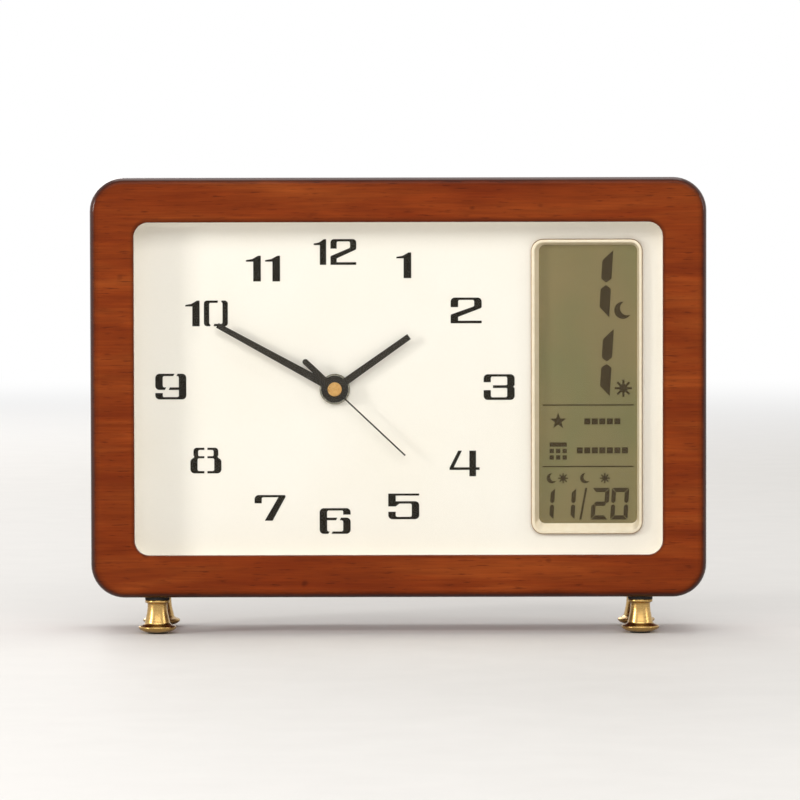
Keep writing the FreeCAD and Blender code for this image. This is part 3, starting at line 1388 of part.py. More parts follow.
def make_battery():
    """The AA cell in its bay and the strip contact at each end."""
    up = f"{HAND_UP} + movement_wall + battery_bay / 2 - movement_side / 2"
    back = f"{MOVEMENT_FRONT} + movement_wall + battery_radius"
    inner = "( movement_side / 2 - movement_wall )"
    left_end = f"( {HAND_RIGHT} - {inner} + contact_thickness + contact_spring )"
    cell = new_body("battery", left_end, back, up)
    outline = [
        ("0", "0"),
        ("battery_length + battery_nub", "0"),
        ("battery_length + battery_nub", "battery_nub_radius"),
        ("battery_length", "battery_nub_radius"),
        ("battery_length", "battery_radius"),
        ("0", "battery_radius"),
    ]
    turned(cell, "XZ_Plane", "H_Axis", outline)

    strips = []
    spans = (
        (-1, f"{HAND_RIGHT} - {inner}", "contact_spring"),
        (1, f"{HAND_RIGHT} + {inner}", f"2 * {inner} - contact_thickness - contact_spring"
         " - battery_length - battery_nub - contact_thickness"),
    )
    for side, right, reach in spans:
        strip = doc.addObject("PartDesign::Body", "strip")
        place(strip, right, back, f"{up} - contact_height / 2")
        leaf = sketch_on(strip, "XY_Plane")
        flat, crest = f"{-side} * contact_thickness", f"{-side} * ( contact_thickness + {reach} )"
        corners = [
            ("0", "0 - contact_height / 2"),
            (flat, "0 - contact_height / 2"),
            (crest, "0"),
            (flat, "contact_height / 2"),
            ("0", "contact_height / 2"),
        ]
        add_outline(leaf, corners if side < 0 else list(reversed(corners)))
        pad(strip, leaf, "contact_height", backwards=False)
        strips.append(strip)
    contacts = doc.addObject("Part::Compound", "contacts")
    contacts.Links = strips
    keep(contacts, "battery_contacts")


def make_display():
    """The raised trim ring, the liquid crystal panel behind it and its rubber connectors."""
    bezel = plate(
        "lcd_bezel", "bezel_width", "bezel_height", "bezel_corner", "bezel_rise",
        right=DISPLAY_RIGHT, back=f"{DIAL_FRONT} - bezel_rise", up=MIDDLE,
    )
    round_edges(bezel, "bezel_round", "Y", 0)
    skirt = facing(bezel, "bezel_rise")
    add_rectangle(skirt, SKIRT_WIDTH, SKIRT_HEIGHT, SKIRT_CORNER)
    pad(bezel, skirt, "dial_thickness")
    mouth = facing(bezel)
    inner_width, inner_height = "bezel_width - 2 * bezel_rim", "bezel_height - 2 * bezel_rim"
    add_rectangle(mouth, inner_width, inner_height, "bezel_corner - bezel_rim")
    throat = facing(bezel, "bezel_rise + dial_thickness")
    add_rectangle(throat, GLASS_WIDTH, GLASS_HEIGHT, "glass_corner", "glass_shift", "glass_lift")
    slope = bezel.newObject("PartDesign::SubtractiveLoft", "bezel_slope")
    slope.Profile = mouth
    slope.Sections = [throat]
    slope.Ruled = True

    where = {"right": DISPLAY_RIGHT, "back": DIAL_BACK, "up": MIDDLE}
    plate("lcd_panel", PANEL_WIDTH, PANEL_HEIGHT, "panel_fit", "panel_thickness", **where)

    strip = doc.addObject("PartDesign::Body", "zebra")
    outline = facing(strip)
    length = f"{PANEL_WIDTH} - 2 * zebra_setback"
    add_rectangle(outline, length, "zebra_width", "zebra_width / 4")
    pad(strip, outline, "zebra_height")
    reach = f"( {PANEL_HEIGHT} / 2 - zebra_width )"
    level = f"{DIAL_BACK} + panel_thickness"
    places = [(DISPLAY_RIGHT, level, f"{MIDDLE} + {side} * {reach}") for side in (-1, 1)]
    group("zebra_connectors", strip, places)


# strokes of a seven-part digit that are lit: a is the top one, b to f follow clockwise and g is
# the middle one
LIT_STROKES = {"0": "abcdef", "1": "bc", "2": "abdeg"}
SLANT_SHARE = 0.06
STROKE_GAP_SHARE = 0.12


def stroke_faces(digit, left, bottom, width, height, stroke):
    """The lit strokes of a seven-part digit, pointed at their ends and slanted."""
    gap = STROKE_GAP_SHARE * stroke
    right, top, middle, half = left + width, bottom + height, bottom + height / 2, stroke / 2
    outlines = {
        "a": [
            (left + gap, top), (right - gap, top), (right - stroke, top - stroke),
            (left + stroke, top - stroke),
        ],
        "b": [
            (right, top - gap), (right, middle + half), (right - half, middle + gap),
            (right - stroke, middle + half), (right - stroke, top - stroke - gap),
        ],
    }
    outlines["g"] = [
        (left + stroke, middle + half), (right - stroke, middle + half), (right - half - gap, middle),
        (right - stroke, middle - half), (left + stroke, middle - half), (left + half + gap, middle),
    ]
    outlines["c"] = [(across, 2 * middle - up) for across, up in outlines["b"]]
    outlines["d"] = [(across, 2 * middle - up) for across, up in outlines["a"]]
    outlines["e"] = [(left + right - across, up) for across, up in outlines["c"]]
    outlines["f"] = [(left + right - across, up) for across, up in outlines["b"]]
    faces = []
    for name in LIT_STROKES[digit]:
        corners = [(across + SLANT_SHARE * (up - bottom), up, 0) for across, up in outlines[name]]
        faces.append(rounded_face(corners))
    return faces


def block_face(right, up, width, height):
    """A rectangle centred on a point."""
    sides = [(-1, -1), (1, -1), (1, 1), (-1, 1)]
    return rounded_face([(right + side * width / 2, up + level * height / 2, 0) for side, level in sides])


def crescent_face(radius, right, up):
    """A moon, as a disc less a smaller disc set to one side."""
    bite = round_face(radius * 5 / 6, right + radius / 2, up + radius / 4)
    return round_face(radius, right, up).cut(bite).Faces[0]


def sun_faces(radius, right, up):
    """A small sun: a disc with eight rays."""
    faces = [round_face(radius / 2, right, up)]
    for ray in range(8):
        bar = block_face(0, radius * 3 / 4, radius / 4, radius / 2)
        bar.rotate(FreeCAD.Vector(), FreeCAD.Vector(0, 1, 0), math.degrees(ray * math.pi / 4))
        bar.translate(FreeCAD.Vector(right, 0, up))
        faces.append(bar)
    return faces


def star_face(radius, right, up):
    """A five-pointed star."""
    corners = []
    for point in range(10):
        reach = radius if point % 2 == 0 else radius * 2 / 5
        angle = point * math.pi / 5
        corners.append((right + reach * math.sin(angle), up + reach * math.cos(angle), 0))
    return rounded_face(corners)


def page_faces(side, right, up):
    """A calendar page: a bar over two rows of three squares."""
    pitch, square = side * 3 / 8, side / 4
    faces = [block_face(right, up + pitch, side, square)]
    for column in (-1, 0, 1):
        for row in (0, 1):
            faces.append(block_face(right + column * pitch, up - row * pitch, square, square))
    return faces


# the display's signs: places are shares of the visible glass from its lower left corner, and sizes
# are shares of the glass's width, except for the digits' heights, which are shares of its height
BIG_DIGIT_SHARES = ((0.715, 0.735), (0.72, 0.452))
BIG_DIGIT_SIZE_SHARES = (0.327, 0.25)
BIG_STROKE_SHARE = 0.105
BIG_SIGN_SHARES = ((0.855, 0.765), (0.86, 0.485))
SIGN_SHARE = 0.088
DIVIDER_SHARES = (0.425, 0.204)
DIVIDER_SIZE_SHARES = (0.926, 0.0128)
DAY_SIGN_SHARES = ((0.195, 0.367), (0.195, 0.26))
DAY_ROW_SHARES = ((0.645, 0.366, 5), (0.645, 0.262, 7))
DAY_SQUARE_SHARE = 0.061
DAY_PITCH_SHARE = 0.0767
SMALL_MOON_SHARES = ((0.13, 0.162), (0.47, 0.162))
SMALL_SUN_SHARES = ((0.245, 0.162), (0.67, 0.162))
SMALL_SIGN_SHARE = 0.052
SMALL_DIGIT_SHARES = (("1", 0.145), ("1", 0.36), ("2", 0.7), ("0", 0.9))
SMALL_DIGIT_SIZE_SHARES = (0.176, 0.114)
SMALL_DIGIT_BOTTOM_SHARE = 0.013
SMALL_STROKE_SHARE = 0.043
SLASH_SHARES = (0.41, 0.47)


def make_display_signs():
    """The lit digits and the plain signs of month, day, week and moon date."""
    width, height = calc(sizes(GLASS_WIDTH)), calc(sizes(GLASS_HEIGHT))

    def spot(across, up):
        return across * width - width / 2, up * height - height / 2

    faces = []
    digit_width, digit_height = BIG_DIGIT_SIZE_SHARES[0] * width, BIG_DIGIT_SIZE_SHARES[1] * height
    for share in BIG_DIGIT_SHARES:
        right, bottom = spot(*share)
        left = right - digit_width
        faces += stroke_faces("1", left, bottom, digit_width, digit_height, BIG_STROKE_SHARE * width)
    radius = SIGN_SHARE * width
    faces.append(crescent_face(radius, *spot(*BIG_SIGN_SHARES[0])))
    faces += sun_faces(radius, *spot(*BIG_SIGN_SHARES[1]))
    faces.append(star_face(radius, *spot(*DAY_SIGN_SHARES[0])))
    faces += page_faces(2 * radius, *spot(*DAY_SIGN_SHARES[1]))
    for level in DIVIDER_SHARES:
        faces.append(block_face(*spot(1 / 2, level), *(share * width for share in DIVIDER_SIZE_SHARES)))
    square, pitch = DAY_SQUARE_SHARE * width, DAY_PITCH_SHARE * width
    for across, up, count in DAY_ROW_SHARES:
        right, level = spot(across, up)
        for index in range(count):
            step = (index - (count - 1) / 2) * pitch
            faces.append(block_face(right + step, level, square, square))
    radius = SMALL_SIGN_SHARE * width
    faces += [crescent_face(radius, *spot(*share)) for share in SMALL_MOON_SHARES]
    for share in SMALL_SUN_SHARES:
        faces += sun_faces(radius, *spot(*share))
    digit_width, digit_height = (
        SMALL_DIGIT_SIZE_SHARES[0] * width,
        SMALL_DIGIT_SIZE_SHARES[1] * height,
    )
    stroke = SMALL_STROKE_SHARE * width
    for digit, across in SMALL_DIGIT_SHARES:
        right, bottom = spot(across, SMALL_DIGIT_BOTTOM_SHARE)
        faces += stroke_faces(digit, right - digit_width, bottom, digit_width, digit_height, stroke)
    (low, bottom), (high, top) = (spot(share, SMALL_DIGIT_BOTTOM_SHARE) for share in SLASH_SHARES)
    top += digit_height
    half = stroke / 2
    slash = [(low, bottom, 0), (low + half, bottom, 0), (high + half, top, 0), (high, top, 0)]
    faces.append(rounded_face(slash))
    right, up = f"{DISPLAY_RIGHT} + glass_shift", f"{MIDDLE} + glass_lift"
    printed("lcd_segments", faces, DIAL_BACK, right, up)


# depths inside the calendar's housing, from its front edge on the backer's back
BOARD_FRONT = "( panel_thickness + zebra_height - backer_thickness )"
BOARD_BACK = f"( {BOARD_FRONT} + board_thickness )"
SWITCH_TOP = f"( {BOARD_BACK} + switch_height + switch_plunger_height )"
BUTTONS = (("mode_button", -1), ("up_button", 0), ("down_button", 1))


def make_calendar_module():
    """The housing behind the display, with its circuit, switches, buttons and cell."""
    where = {"right": DISPLAY_RIGHT, "back": BACKER_BACK, "up": MIDDLE}
    width, height, corner = MODULE_WIDTH, MODULE_HEIGHT, "module_corner"
    housing = plate("calendar_housing", width, height, corner, "module_depth", **where)
    room = facing(housing)
    inner_width, inner_height = f"( {width} - 2 * module_wall )", f"( {height} - 2 * module_wall )"
    add_rectangle(room, inner_width, inner_height, f"{corner} - module_wall")
    pocket(housing, room, "module_depth - module_wall")
    for right, up in module_screw_places():
        across = f"{right} - {DISPLAY_RIGHT}"
        ear = facing(housing)
        inwards = f"( {across} ) * ( {width} + ear_width - module_wall ) / ( {width} + ear_width )"
        add_rectangle(ear, "ear_width + module_wall", "ear_height", "module_wall / 2", inwards, up)
        pad(housing, ear, "ear_thickness")
        hole = facing(housing)
        add_circle(hole, "backer_screw_radius", across, up)
        pocket(housing, hole, "ear_thickness")
    cup = facing(housing, "module_depth - door_thickness - cell_height - cup_wall")
    add_circle(cup, "door_radius + fit + cup_wall", up="0 - cell_drop")
    pad(housing, cup, "door_thickness + cell_height + cup_wall - module_wall / 2")
    well = facing(housing, "module_depth - door_thickness - cell_height")
    add_circle(well, "cell_radius + fit", up="0 - cell_drop")
    pocket(housing, well, "door_thickness + cell_height")
    seat = facing(housing, "module_depth - door_thickness")
    add_circle(seat, "door_radius + fit", up="0 - cell_drop")
    pocket(housing, seat, "door_thickness")
    holes = facing(housing, "module_depth - module_wall")
    for label, side in BUTTONS:
        add_circle(holes, "button_radius + button_fit", f"{side} * button_spacing", "button_rise")
    pocket(housing, holes, "module_wall")

    board_width, board_height = f"{inner_width} - 2 * board_fit", f"{inner_height} - 2 * board_fit"
    level = f"{BACKER_BACK} + {BOARD_FRONT}"
    board = box_along("board", board_width, "board_thickness", board_height, DISPLAY_RIGHT, level, MIDDLE)
    keep(board, "calendar_circuit")

    case = box_along("switch_case", "switch_side", "switch_height", "switch_side", "0", "0", "0")
    plunger = doc.addObject("Part::Cylinder", "switch_plunger")
    plunger.setExpression("Radius", sizes("switch_plunger"))
    plunger.setExpression("Height", sizes("switch_height + switch_plunger_height"))
    plunger.Placement = FreeCAD.Placement(FreeCAD.Vector(), FreeCAD.Rotation(FreeCAD.Vector(1, 0, 0), -90))
    switch = doc.addObject("Part::Fuse", "switch")
    switch.Base = case
    switch.Tool = plunger
    level = f"{BACKER_BACK} + {BOARD_BACK}"
    across = [f"{DISPLAY_RIGHT} + {side} * button_spacing" for label, side in BUTTONS]
    rise = f"{MIDDLE} + button_rise"
    group("tact_switches", switch, [(right, level, rise) for right in across])

    rest = f"( {SWITCH_TOP} + button_travel + button_fit )"
    flange = "( module_depth - module_wall - button_fit - button_flange_height )"
    end = "( module_depth + button_proud )"
    for (label, side), right in zip(BUTTONS, across):
        button = new_body(label, right, BACKER_BACK, rise)
        outline = [
            (rest, "0"),
            (rest, "switch_plunger"),
            (flange, "switch_plunger"),
            (flange, "button_radius + button_flange"),
            (f"{flange} + button_flange_height", "button_radius + button_flange"),
            (f"{flange} + button_flange_height", "button_radius"),
            (f"{end} - button_fit", "button_radius"),
            (end, "button_radius - button_fit"),
            (end, "0"),
        ]
        turned_along_y(button, list(reversed(outline)))

    where = {"right": DISPLAY_RIGHT, "up": f"{MIDDLE} - cell_drop"}
    level = f"{BACKER_BACK} + module_depth - door_thickness"
    round_disc("button_cell", "cell_radius", "cell_height", back=f"{level} - cell_height", **where)
    door = round_disc("battery_door", "door_radius", "door_thickness", back=level, **where)
    slot = facing(door, "door_thickness / 2")
    add_rectangle(slot, "door_radius", "door_slot", "door_slot / 4")
    pocket(door, slot, "door_thickness / 2")

    screw = make_screw("backer_screw", "module_screw_length")
    level = f"{BACKER_BACK} + ear_thickness"
    places = [(right, level, f"{MIDDLE} + {up}") for right, up in module_screw_places()]
    group("module_screws", screw, places)


def check_document():
    """Stop if any feature failed, if a cut removed nothing or if a sub-part is no valid solid."""
    for item in doc.Objects:
        if "Invalid" in item.State or "Error" in item.State:
            raise RuntimeError(f"{item.Label} failed: {item.State}")
        if item.TypeId in ("PartDesign::Pocket", "PartDesign::SubtractiveLoft", "PartDesign::PolarPattern"):
            before = item.BaseFeature.Shape.Volume
            if not item.Shape.Volume < before:
                raise RuntimeError(f"{item.Label} of {item.getParent().Label} cuts nothing")
    for item in subparts:
        if item.Shape.isNull() or not item.Shape.isValid() or not item.Shape.Solids:
            raise RuntimeError(f"{item.Label} is no valid solid")


make_front_frame()
make_case_body()
make_case_fastenings()
make_back_cover()
make_feet()
make_glass_and_dial()
make_numerals()
make_hands()
make_movement_case()
make_dial_nut()
make_motion_work()
make_going_train()
make_motor()
make_battery()
make_display()
make_display_signs()
make_calendar_module()
doc.recompute()
check_document()

os.makedirs("parts", exist_ok=True)
for item in subparts:
    item.Shape.exportStep(f"parts/{item.Label}.step")
    print(item.Label, len(item.Shape.Solids), round(item.Shape.Volume, 1))
print(len(subparts), "sub-parts")
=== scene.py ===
import math

import bpy
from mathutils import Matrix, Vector


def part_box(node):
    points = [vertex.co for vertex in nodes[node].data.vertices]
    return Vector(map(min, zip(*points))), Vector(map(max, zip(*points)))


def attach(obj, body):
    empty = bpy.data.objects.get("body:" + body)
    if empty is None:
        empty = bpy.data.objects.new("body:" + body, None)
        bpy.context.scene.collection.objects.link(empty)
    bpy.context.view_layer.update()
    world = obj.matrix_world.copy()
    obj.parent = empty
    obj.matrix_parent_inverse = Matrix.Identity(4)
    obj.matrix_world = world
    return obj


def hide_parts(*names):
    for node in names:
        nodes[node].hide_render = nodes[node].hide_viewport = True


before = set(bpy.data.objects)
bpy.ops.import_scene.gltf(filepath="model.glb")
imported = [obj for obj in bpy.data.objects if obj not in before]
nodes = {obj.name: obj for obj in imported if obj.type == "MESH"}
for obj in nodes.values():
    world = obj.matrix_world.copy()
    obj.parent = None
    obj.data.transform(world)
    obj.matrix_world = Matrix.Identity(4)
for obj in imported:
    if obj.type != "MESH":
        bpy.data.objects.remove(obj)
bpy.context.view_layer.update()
MM = 0.001

# the part of a noise texture's range that its values fill, and the slants over which a coat grows
NOISE_REACH = (0.3, 0.7)
SLANT_REACH = (0.04, 0.34)

# the sine of 45 degrees, where one board of the case meets the next
MITRE_SHARE = 0.71

# corners of the case, its window and the display's trim; the depths and widths of the painted shade on the
# case's rounded front rim and round the window's reveal, and of the painted shadow round the trim
CASE_CORNER, WINDOW_CORNER, TRIM_CORNER = 12 * MM, 5.2 * MM, 4.4 * MM
RIM_DEPTHS, REVEAL_DEPTHS = (-20.4 * MM, -18.4 * MM), (-16 * MM, -12 * MM)
RIM_WIDTH, RIM_WANDER, REVEAL_WIDTH, TRIM_SHADOW_WIDTH = 4 * MM, 0.8 * MM, 2 * MM, 1.2 * MM


def linear(red, green, blue):
    """A colour given in steps of 255, as linear light."""
    shades = (red / 255, green / 255, blue / 255)
    return tuple(s / 12.92 if s <= 0.04045 else ((s + 0.055) / 1.055) ** 2.4 for s in shades) + (1.0,)


class Finish:
    """A node material round one Principled surface; lengths in its patterns are metres."""

    def __init__(self, name, **settings):
        self.material = bpy.data.materials.new(name)
        self.material.use_nodes = True
        self.tree = self.material.node_tree
        self.surface = self.tree.nodes["Principled BSDF"]
        self.output = self.tree.nodes["Material Output"]
        self.place = self.node("TexCoord").outputs["Object"]
        for socket, value in settings.items():
            self.surface.inputs[socket.replace("_", " ")].default_value = value

    def node(self, kind):
        return self.tree.nodes.new("ShaderNode" + kind)

    def join(self, source, target):
        if isinstance(source, bpy.types.NodeSocket):
            self.tree.links.new(source, target)
        else:
            target.default_value = source

    def stretched(self, scale):
        """Object coordinates times a scale along each axis."""
        mapping = self.node("Mapping")
        self.join(self.place, mapping.inputs["Vector"])
        mapping.inputs["Scale"].default_value = scale
        return mapping.outputs["Vector"]

    def axes(self, vector):
        """The three parts of a vector, by the letters X, Y and Z."""
        split = self.node("SeparateXYZ")
        self.join(vector, split.inputs["Vector"])
        return split.outputs

    def spread(self, value, start, end, first, last):
        """Maps a value between two limits to a second pair of limits."""
        spread = self.node("MapRange")
        self.join(value, spread.inputs["Value"])
        limits = {"From Min": start, "From Max": end, "To Min": first, "To Max": last}
        for socket, limit in limits.items():
            spread.inputs[socket].default_value = limit
        return spread.outputs["Result"]

    def noise(self, scale, detail=4.0, roughness=0.55, place=None, distortion=0.0):
        texture = self.node("TexNoise")
        self.join(place or self.place, texture.inputs["Vector"])
        texture.inputs["Scale"].default_value = scale
        texture.inputs["Detail"].default_value = detail
        texture.inputs["Roughness"].default_value = roughness
        texture.inputs["Distortion"].default_value = distortion
        return texture.outputs["Fac"]

    def ramp(self, value, *stops):
        """Maps a value through stops of (position, colour)."""
        ramp = self.node("ValToRGB")
        self.join(value, ramp.inputs["Fac"])
        elements = ramp.color_ramp.elements
        for index, (position, colour) in enumerate(stops):
            if index < 2:
                element = elements[index]
            else:
                element = elements.new(position)
            element.position = position
            element.color = colour if isinstance(colour, tuple) else (colour, colour, colour, 1)
        return ramp.outputs["Color"]

    def mix(self, share, first, second, way="MIX"):
        blend = self.node("Mix")
        blend.data_type = "RGBA"
        blend.blend_type = way
        blend.clamp_factor = True
        self.join(share, blend.inputs["Factor"])
        self.join(first, blend.inputs[6])
        self.join(second, blend.inputs[7])
        return blend.outputs[2]

    def calc(self, way, first, second=0.0, third=0.0):
        maths = self.node("Math")
        maths.operation = way
        for socket, value in zip(maths.inputs, (first, second, third)):
            self.join(value, socket)
        return maths.outputs["Value"]

    def vary(self, value, low, high):
        """Spreads a noise value over a range for a socket."""
        return self.spread(value, *NOISE_REACH, low, high)

    def bump(self, height, distance, strength):
        bump = self.node("Bump")
        bump.inputs["Distance"].default_value = distance
        bump.inputs["Strength"].default_value = strength
        self.join(height, bump.inputs["Height"])
        return bump.outputs["Normal"]

    def set(self, **sources):
        for socket, source in sources.items():
            self.join(source, self.surface.inputs[socket.replace("_", " ")])
        return self

    def on(self, *names):
        """Puts the finish on every slot of the named nodes."""
        for name in names:
            piece = nodes[name]
            if not piece.material_slots:
                piece.data.materials.append(self.material)
            for index in range(len(piece.material_slots)):
                piece.material_slots[index].material = self.material
        return self


def sheen_at_edges(finish, level, rim):
    """A coat that is thin seen straight on and full seen at a slant, as polished lacquer shows it."""
    slant = finish.node("LayerWeight")
    return finish.spread(slant.outputs["Facing"], *SLANT_REACH, level, rim)


def edge_distance(finish, low, high, corner):
    """How far inside a rounded rectangle in the XZ plane a point lies, in metres."""
    place = finish.axes(finish.place)
    across = finish.calc("ABSOLUTE", finish.calc("SUBTRACT", place["X"], (low.x + high.x) / 2))
    up = finish.calc("ABSOLUTE", finish.calc("SUBTRACT", place["Z"], (low.z + high.z) / 2))
    across = finish.calc("SUBTRACT", across, (high.x - low.x) / 2 - corner)
    up = finish.calc("SUBTRACT", up, (high.z - low.z) / 2 - corner)
    outside_across = finish.calc("MAXIMUM", across, 0.0)
    outside_up = finish.calc("MAXIMUM", up, 0.0)
    squares = finish.calc("MULTIPLY", outside_across, outside_across)
    squares = finish.calc("MULTIPLY_ADD", outside_up, outside_up, squares)
    outside = finish.calc("SQRT", squares)
    inside = finish.calc("MINIMUM", finish.calc("MAXIMUM", across, up), 0.0)
    return finish.calc("SUBTRACT", corner, finish.calc("ADD", outside, inside))


def depth_band(finish, front, back):
    """1 from a depth to the front and 0 behind a second depth, in metres along Y."""
    return finish.spread(finish.axes(finish.place)["Y"], front, back, 1.0, 0.0)


def mitred_boards(finish):
    """Object coordinates with the grain along X, turned upright on the boards of the two sides."""
    facing = finish.axes(finish.node("TexCoord").outputs["Normal"])
    on_side = finish.calc("GREATER_THAN", finish.calc("ABSOLUTE", facing["X"]), MITRE_SHARE)
    place = finish.axes(finish.place)
    turned = finish.node("CombineXYZ")
    for axis, source in zip("XYZ", "ZYX"):
        finish.join(place[source], turned.inputs[axis])
    return finish.mix(on_side, finish.place, turned.outputs["Vector"])


def red_wood(name):
    """Reddish lacquered wood, its grain along the boards, with pores and flecks, and painted shade darkening
    its rounded front rim and the edge of its window.
    """
    wood = Finish(name, Coat_Roughness=0.14, Coat_Tint=(1.0, 0.84, 0.76, 1), Specular_IOR_Level=0.05)
    plain = wood.place
    wood.place = mitred_boards(wood)
    drift = wood.noise(14, 3, 0.5, wood.stretched((1.0, 9.0, 9.0)), 0.6)
    streaks = wood.noise(70, 5, 0.6, wood.stretched((0.45, 9.0, 9.0)), 0.3)
    fibres = wood.noise(230, 3, 0.6, wood.stretched((0.3, 8.0, 8.0)))
    pores = wood.noise(620, 2, 0.5, wood.stretched((0.24, 2.6, 2.6)))
    blotches = wood.noise(42, 2, 0.5, wood.stretched((0.8, 1.3, 1.3)), 0.8)
    flecks = wood.noise(150, 1, 0.4, wood.stretched((0.7, 1.2, 1.2)))
    wood.place = plain
    colour = wood.ramp(
        drift, (0.3, linear(118, 44, 9)), (0.72, linear(146, 68, 23)), (0.5, linear(131, 54, 14)),
    )
    tone = wood.ramp(streaks, (0.3, 0.82), (0.7, 1.1))
    colour = wood.mix(0.75, colour, tone, "MULTIPLY")
    colour = wood.mix(0.35, colour, wood.ramp(fibres, (0.32, 0.6), (0.66, 1.2)), "MULTIPLY")
    colour = wood.mix(0.6, colour, wood.ramp(blotches, (0.3, 0.8), (0.7, 1.12)), "MULTIPLY")
    colour = wood.mix(0.75, colour, wood.ramp(pores, (0.27, 0.35), (0.4, 1.0)), "MULTIPLY")
    colour = wood.mix(0.8, colour, wood.ramp(flecks, (0.2, 0.25), (0.26, 1.0)), "MULTIPLY")
    # painted shade: the wood darkens towards the outer edge of the case's rounded front rim
    inside = edge_distance(wood, case_low, case_high, CASE_CORNER)
    wander = wood.calc("MULTIPLY_ADD", wood.noise(90, 3), RIM_WANDER, inside)
    wander = wood.calc("DIVIDE", wander, RIM_WIDTH)
    shade = wood.ramp(wander, (0.1, 0.08), (0.95, 1.0), (0.35, 0.18), (0.5, 0.5), (0.66, 0.8))
    rim_shade_share = wood.calc("MULTIPLY", depth_band(wood, *RIM_DEPTHS), 0.95)
    colour = wood.mix(rim_shade_share, colour, shade, "MULTIPLY")
    rim = wood.calc("MULTIPLY", rim_shade_share, wood.calc("SUBTRACT", 1.0, shade))
    sheen = wood.calc("MULTIPLY", rim, sheen_at_edges(wood, 0.0, 1.0))
    # painted shade: the wood darkens in a thin band round the window's edge and on its reveal
    inside = edge_distance(wood, window_low, window_high, WINDOW_CORNER)
    shade = wood.ramp(wood.calc("MULTIPLY_ADD", inside, 1 / REVEAL_WIDTH, 1.0), (0.35, 1.0), (0.9, 0.42))
    window_shade_share = wood.calc("MULTIPLY", depth_band(wood, *REVEAL_DEPTHS), 0.8)
    colour = wood.mix(window_shade_share, colour, shade, "MULTIPLY")
    relief = wood.calc("MULTIPLY_ADD", fibres, 0.4, wood.calc("MULTIPLY", pores, 0.6))
    wood.set(
        Base_Color=colour,
        Coat_Weight=wood.calc("MAXIMUM", sheen, sheen_at_edges(wood, 0.08, 0.4)),
        Roughness=wood.vary(streaks, 0.34, 0.46),
        Normal=wood.bump(relief, 0.12 * MM, 0.35),
    )
    return wood


case_low, case_high = (Vector(corner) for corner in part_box("case_body"))

# the window is an opening in the front frame, so no node's box gives its corners
window_low = Vector((-94.35 * MM, 0, 28.75 * MM))
window_high = Vector((94.35 * MM, 0, 147.65 * MM))

red_wood("lacquered_red_wood").on("front_frame", "case_body")

pale = Finish("pale_wood", Specular_IOR_Level=0.3)
grain = pale.noise(60, 5, 0.6, pale.stretched((0.6, 8, 8)), 0.4)
pores = pale.noise(500, 2, 0.5, pale.stretched((0.2, 2.5, 2.5)))
tint = pale.ramp(grain, (0.3, linear(176, 134, 84)), (0.7, linear(214, 178, 128)))
pale.set(
    Base_Color=pale.mix(0.5, tint, pale.ramp(pores, (0.3, 0.5), (0.45, 1.0)), "MULTIPLY"),
    Roughness=pale.vary(grain, 0.5, 0.68),
    Normal=pale.bump(grain, 0.1 * MM, 0.4),
).on("corner_blocks", "case_dowels")

board = Finish("hardboard", Specular_IOR_Level=0.3)
fibre = board.noise(1700, 5, 0.7, board.stretched((1, 1, 0.7)))
cloud = board.noise(60, 3)
tint = board.ramp(fibre, (0.3, linear(92, 69, 49)), (0.7, linear(124, 97, 71)))
board.set(
    Base_Color=board.mix(0.5, tint, board.ramp(cloud, (0.3, 0.82), (0.7, 1.1)), "MULTIPLY"),
    Roughness=board.vary(fibre, 0.5, 0.72),
    Normal=board.bump(fibre, 0.06 * MM, 0.5),
).on("back_cover", "dial_backer")

dial = Finish("dial_print", Specular_IOR_Level=0.12)
tooth = dial.noise(1800, 3, 0.6)
cloud = dial.noise(22, 2)
dial.set(
    Base_Color=dial.mix(
        1.0, dial.ramp(cloud, (0.3, linear(250, 244, 233)), (0.7, linear(252, 247, 238))),
        dial.ramp(tooth, (0.3, 0.985), (0.7, 1.0)), "MULTIPLY",
    ),
    Roughness=dial.vary(tooth, 0.52, 0.66),
    Normal=dial.bump(tooth, 0.01 * MM, 0.3),
).on("dial_plate", "lens_spacer")

ink = Finish("printed_ink", Specular_IOR_Level=0.08)
grain = ink.noise(900, 2, 0.5)
ink.set(
    Base_Color=ink.ramp(grain, (0.3, linear(32, 29, 22)), (0.7, linear(40, 36, 28))),
    Roughness=ink.vary(grain, 0.45, 0.62),
    Normal=ink.bump(grain, 0.004 * MM, 0.1),
).on("dial_numerals")

hand = Finish("black_hand_paint", Specular_IOR_Level=0.3)
grain = hand.noise(900, 2, 0.5)
hand.set(
    Base_Color=hand.ramp(grain, (0.3, linear(36, 31, 22)), (0.7, linear(44, 38, 28))),
    Roughness=hand.vary(grain, 0.3, 0.42),
    Normal=hand.bump(grain, 0.006 * MM, 0.15),
).on("hour_hand", "minute_hand", "second_hand")


def metal(name, dark, light, rough, turned=None, scale=900, tarnish=0.25, marks=0.35, **settings):
    """A metal with fine tool marks along one way and a faint uneven patina."""
    settings.setdefault("Metallic", 1.0)
    finish = Finish(name, **settings)
    lines = finish.noise(scale, 3, 0.6, finish.stretched(turned) if turned else None)
    patina = finish.noise(260, 3, 0.6)
    tint = finish.ramp(lines, (0.3, dark), (0.7, light))
    finish.set(
        Base_Color=finish.mix(tarnish, tint, finish.ramp(patina, (0.35, 0.72), (0.6, 1.0)), "MULTIPLY"),
        Roughness=finish.vary(patina, rough * 0.8, rough * 1.25),
        Normal=finish.bump(lines, 0.01 * MM, marks),
    )
    return finish


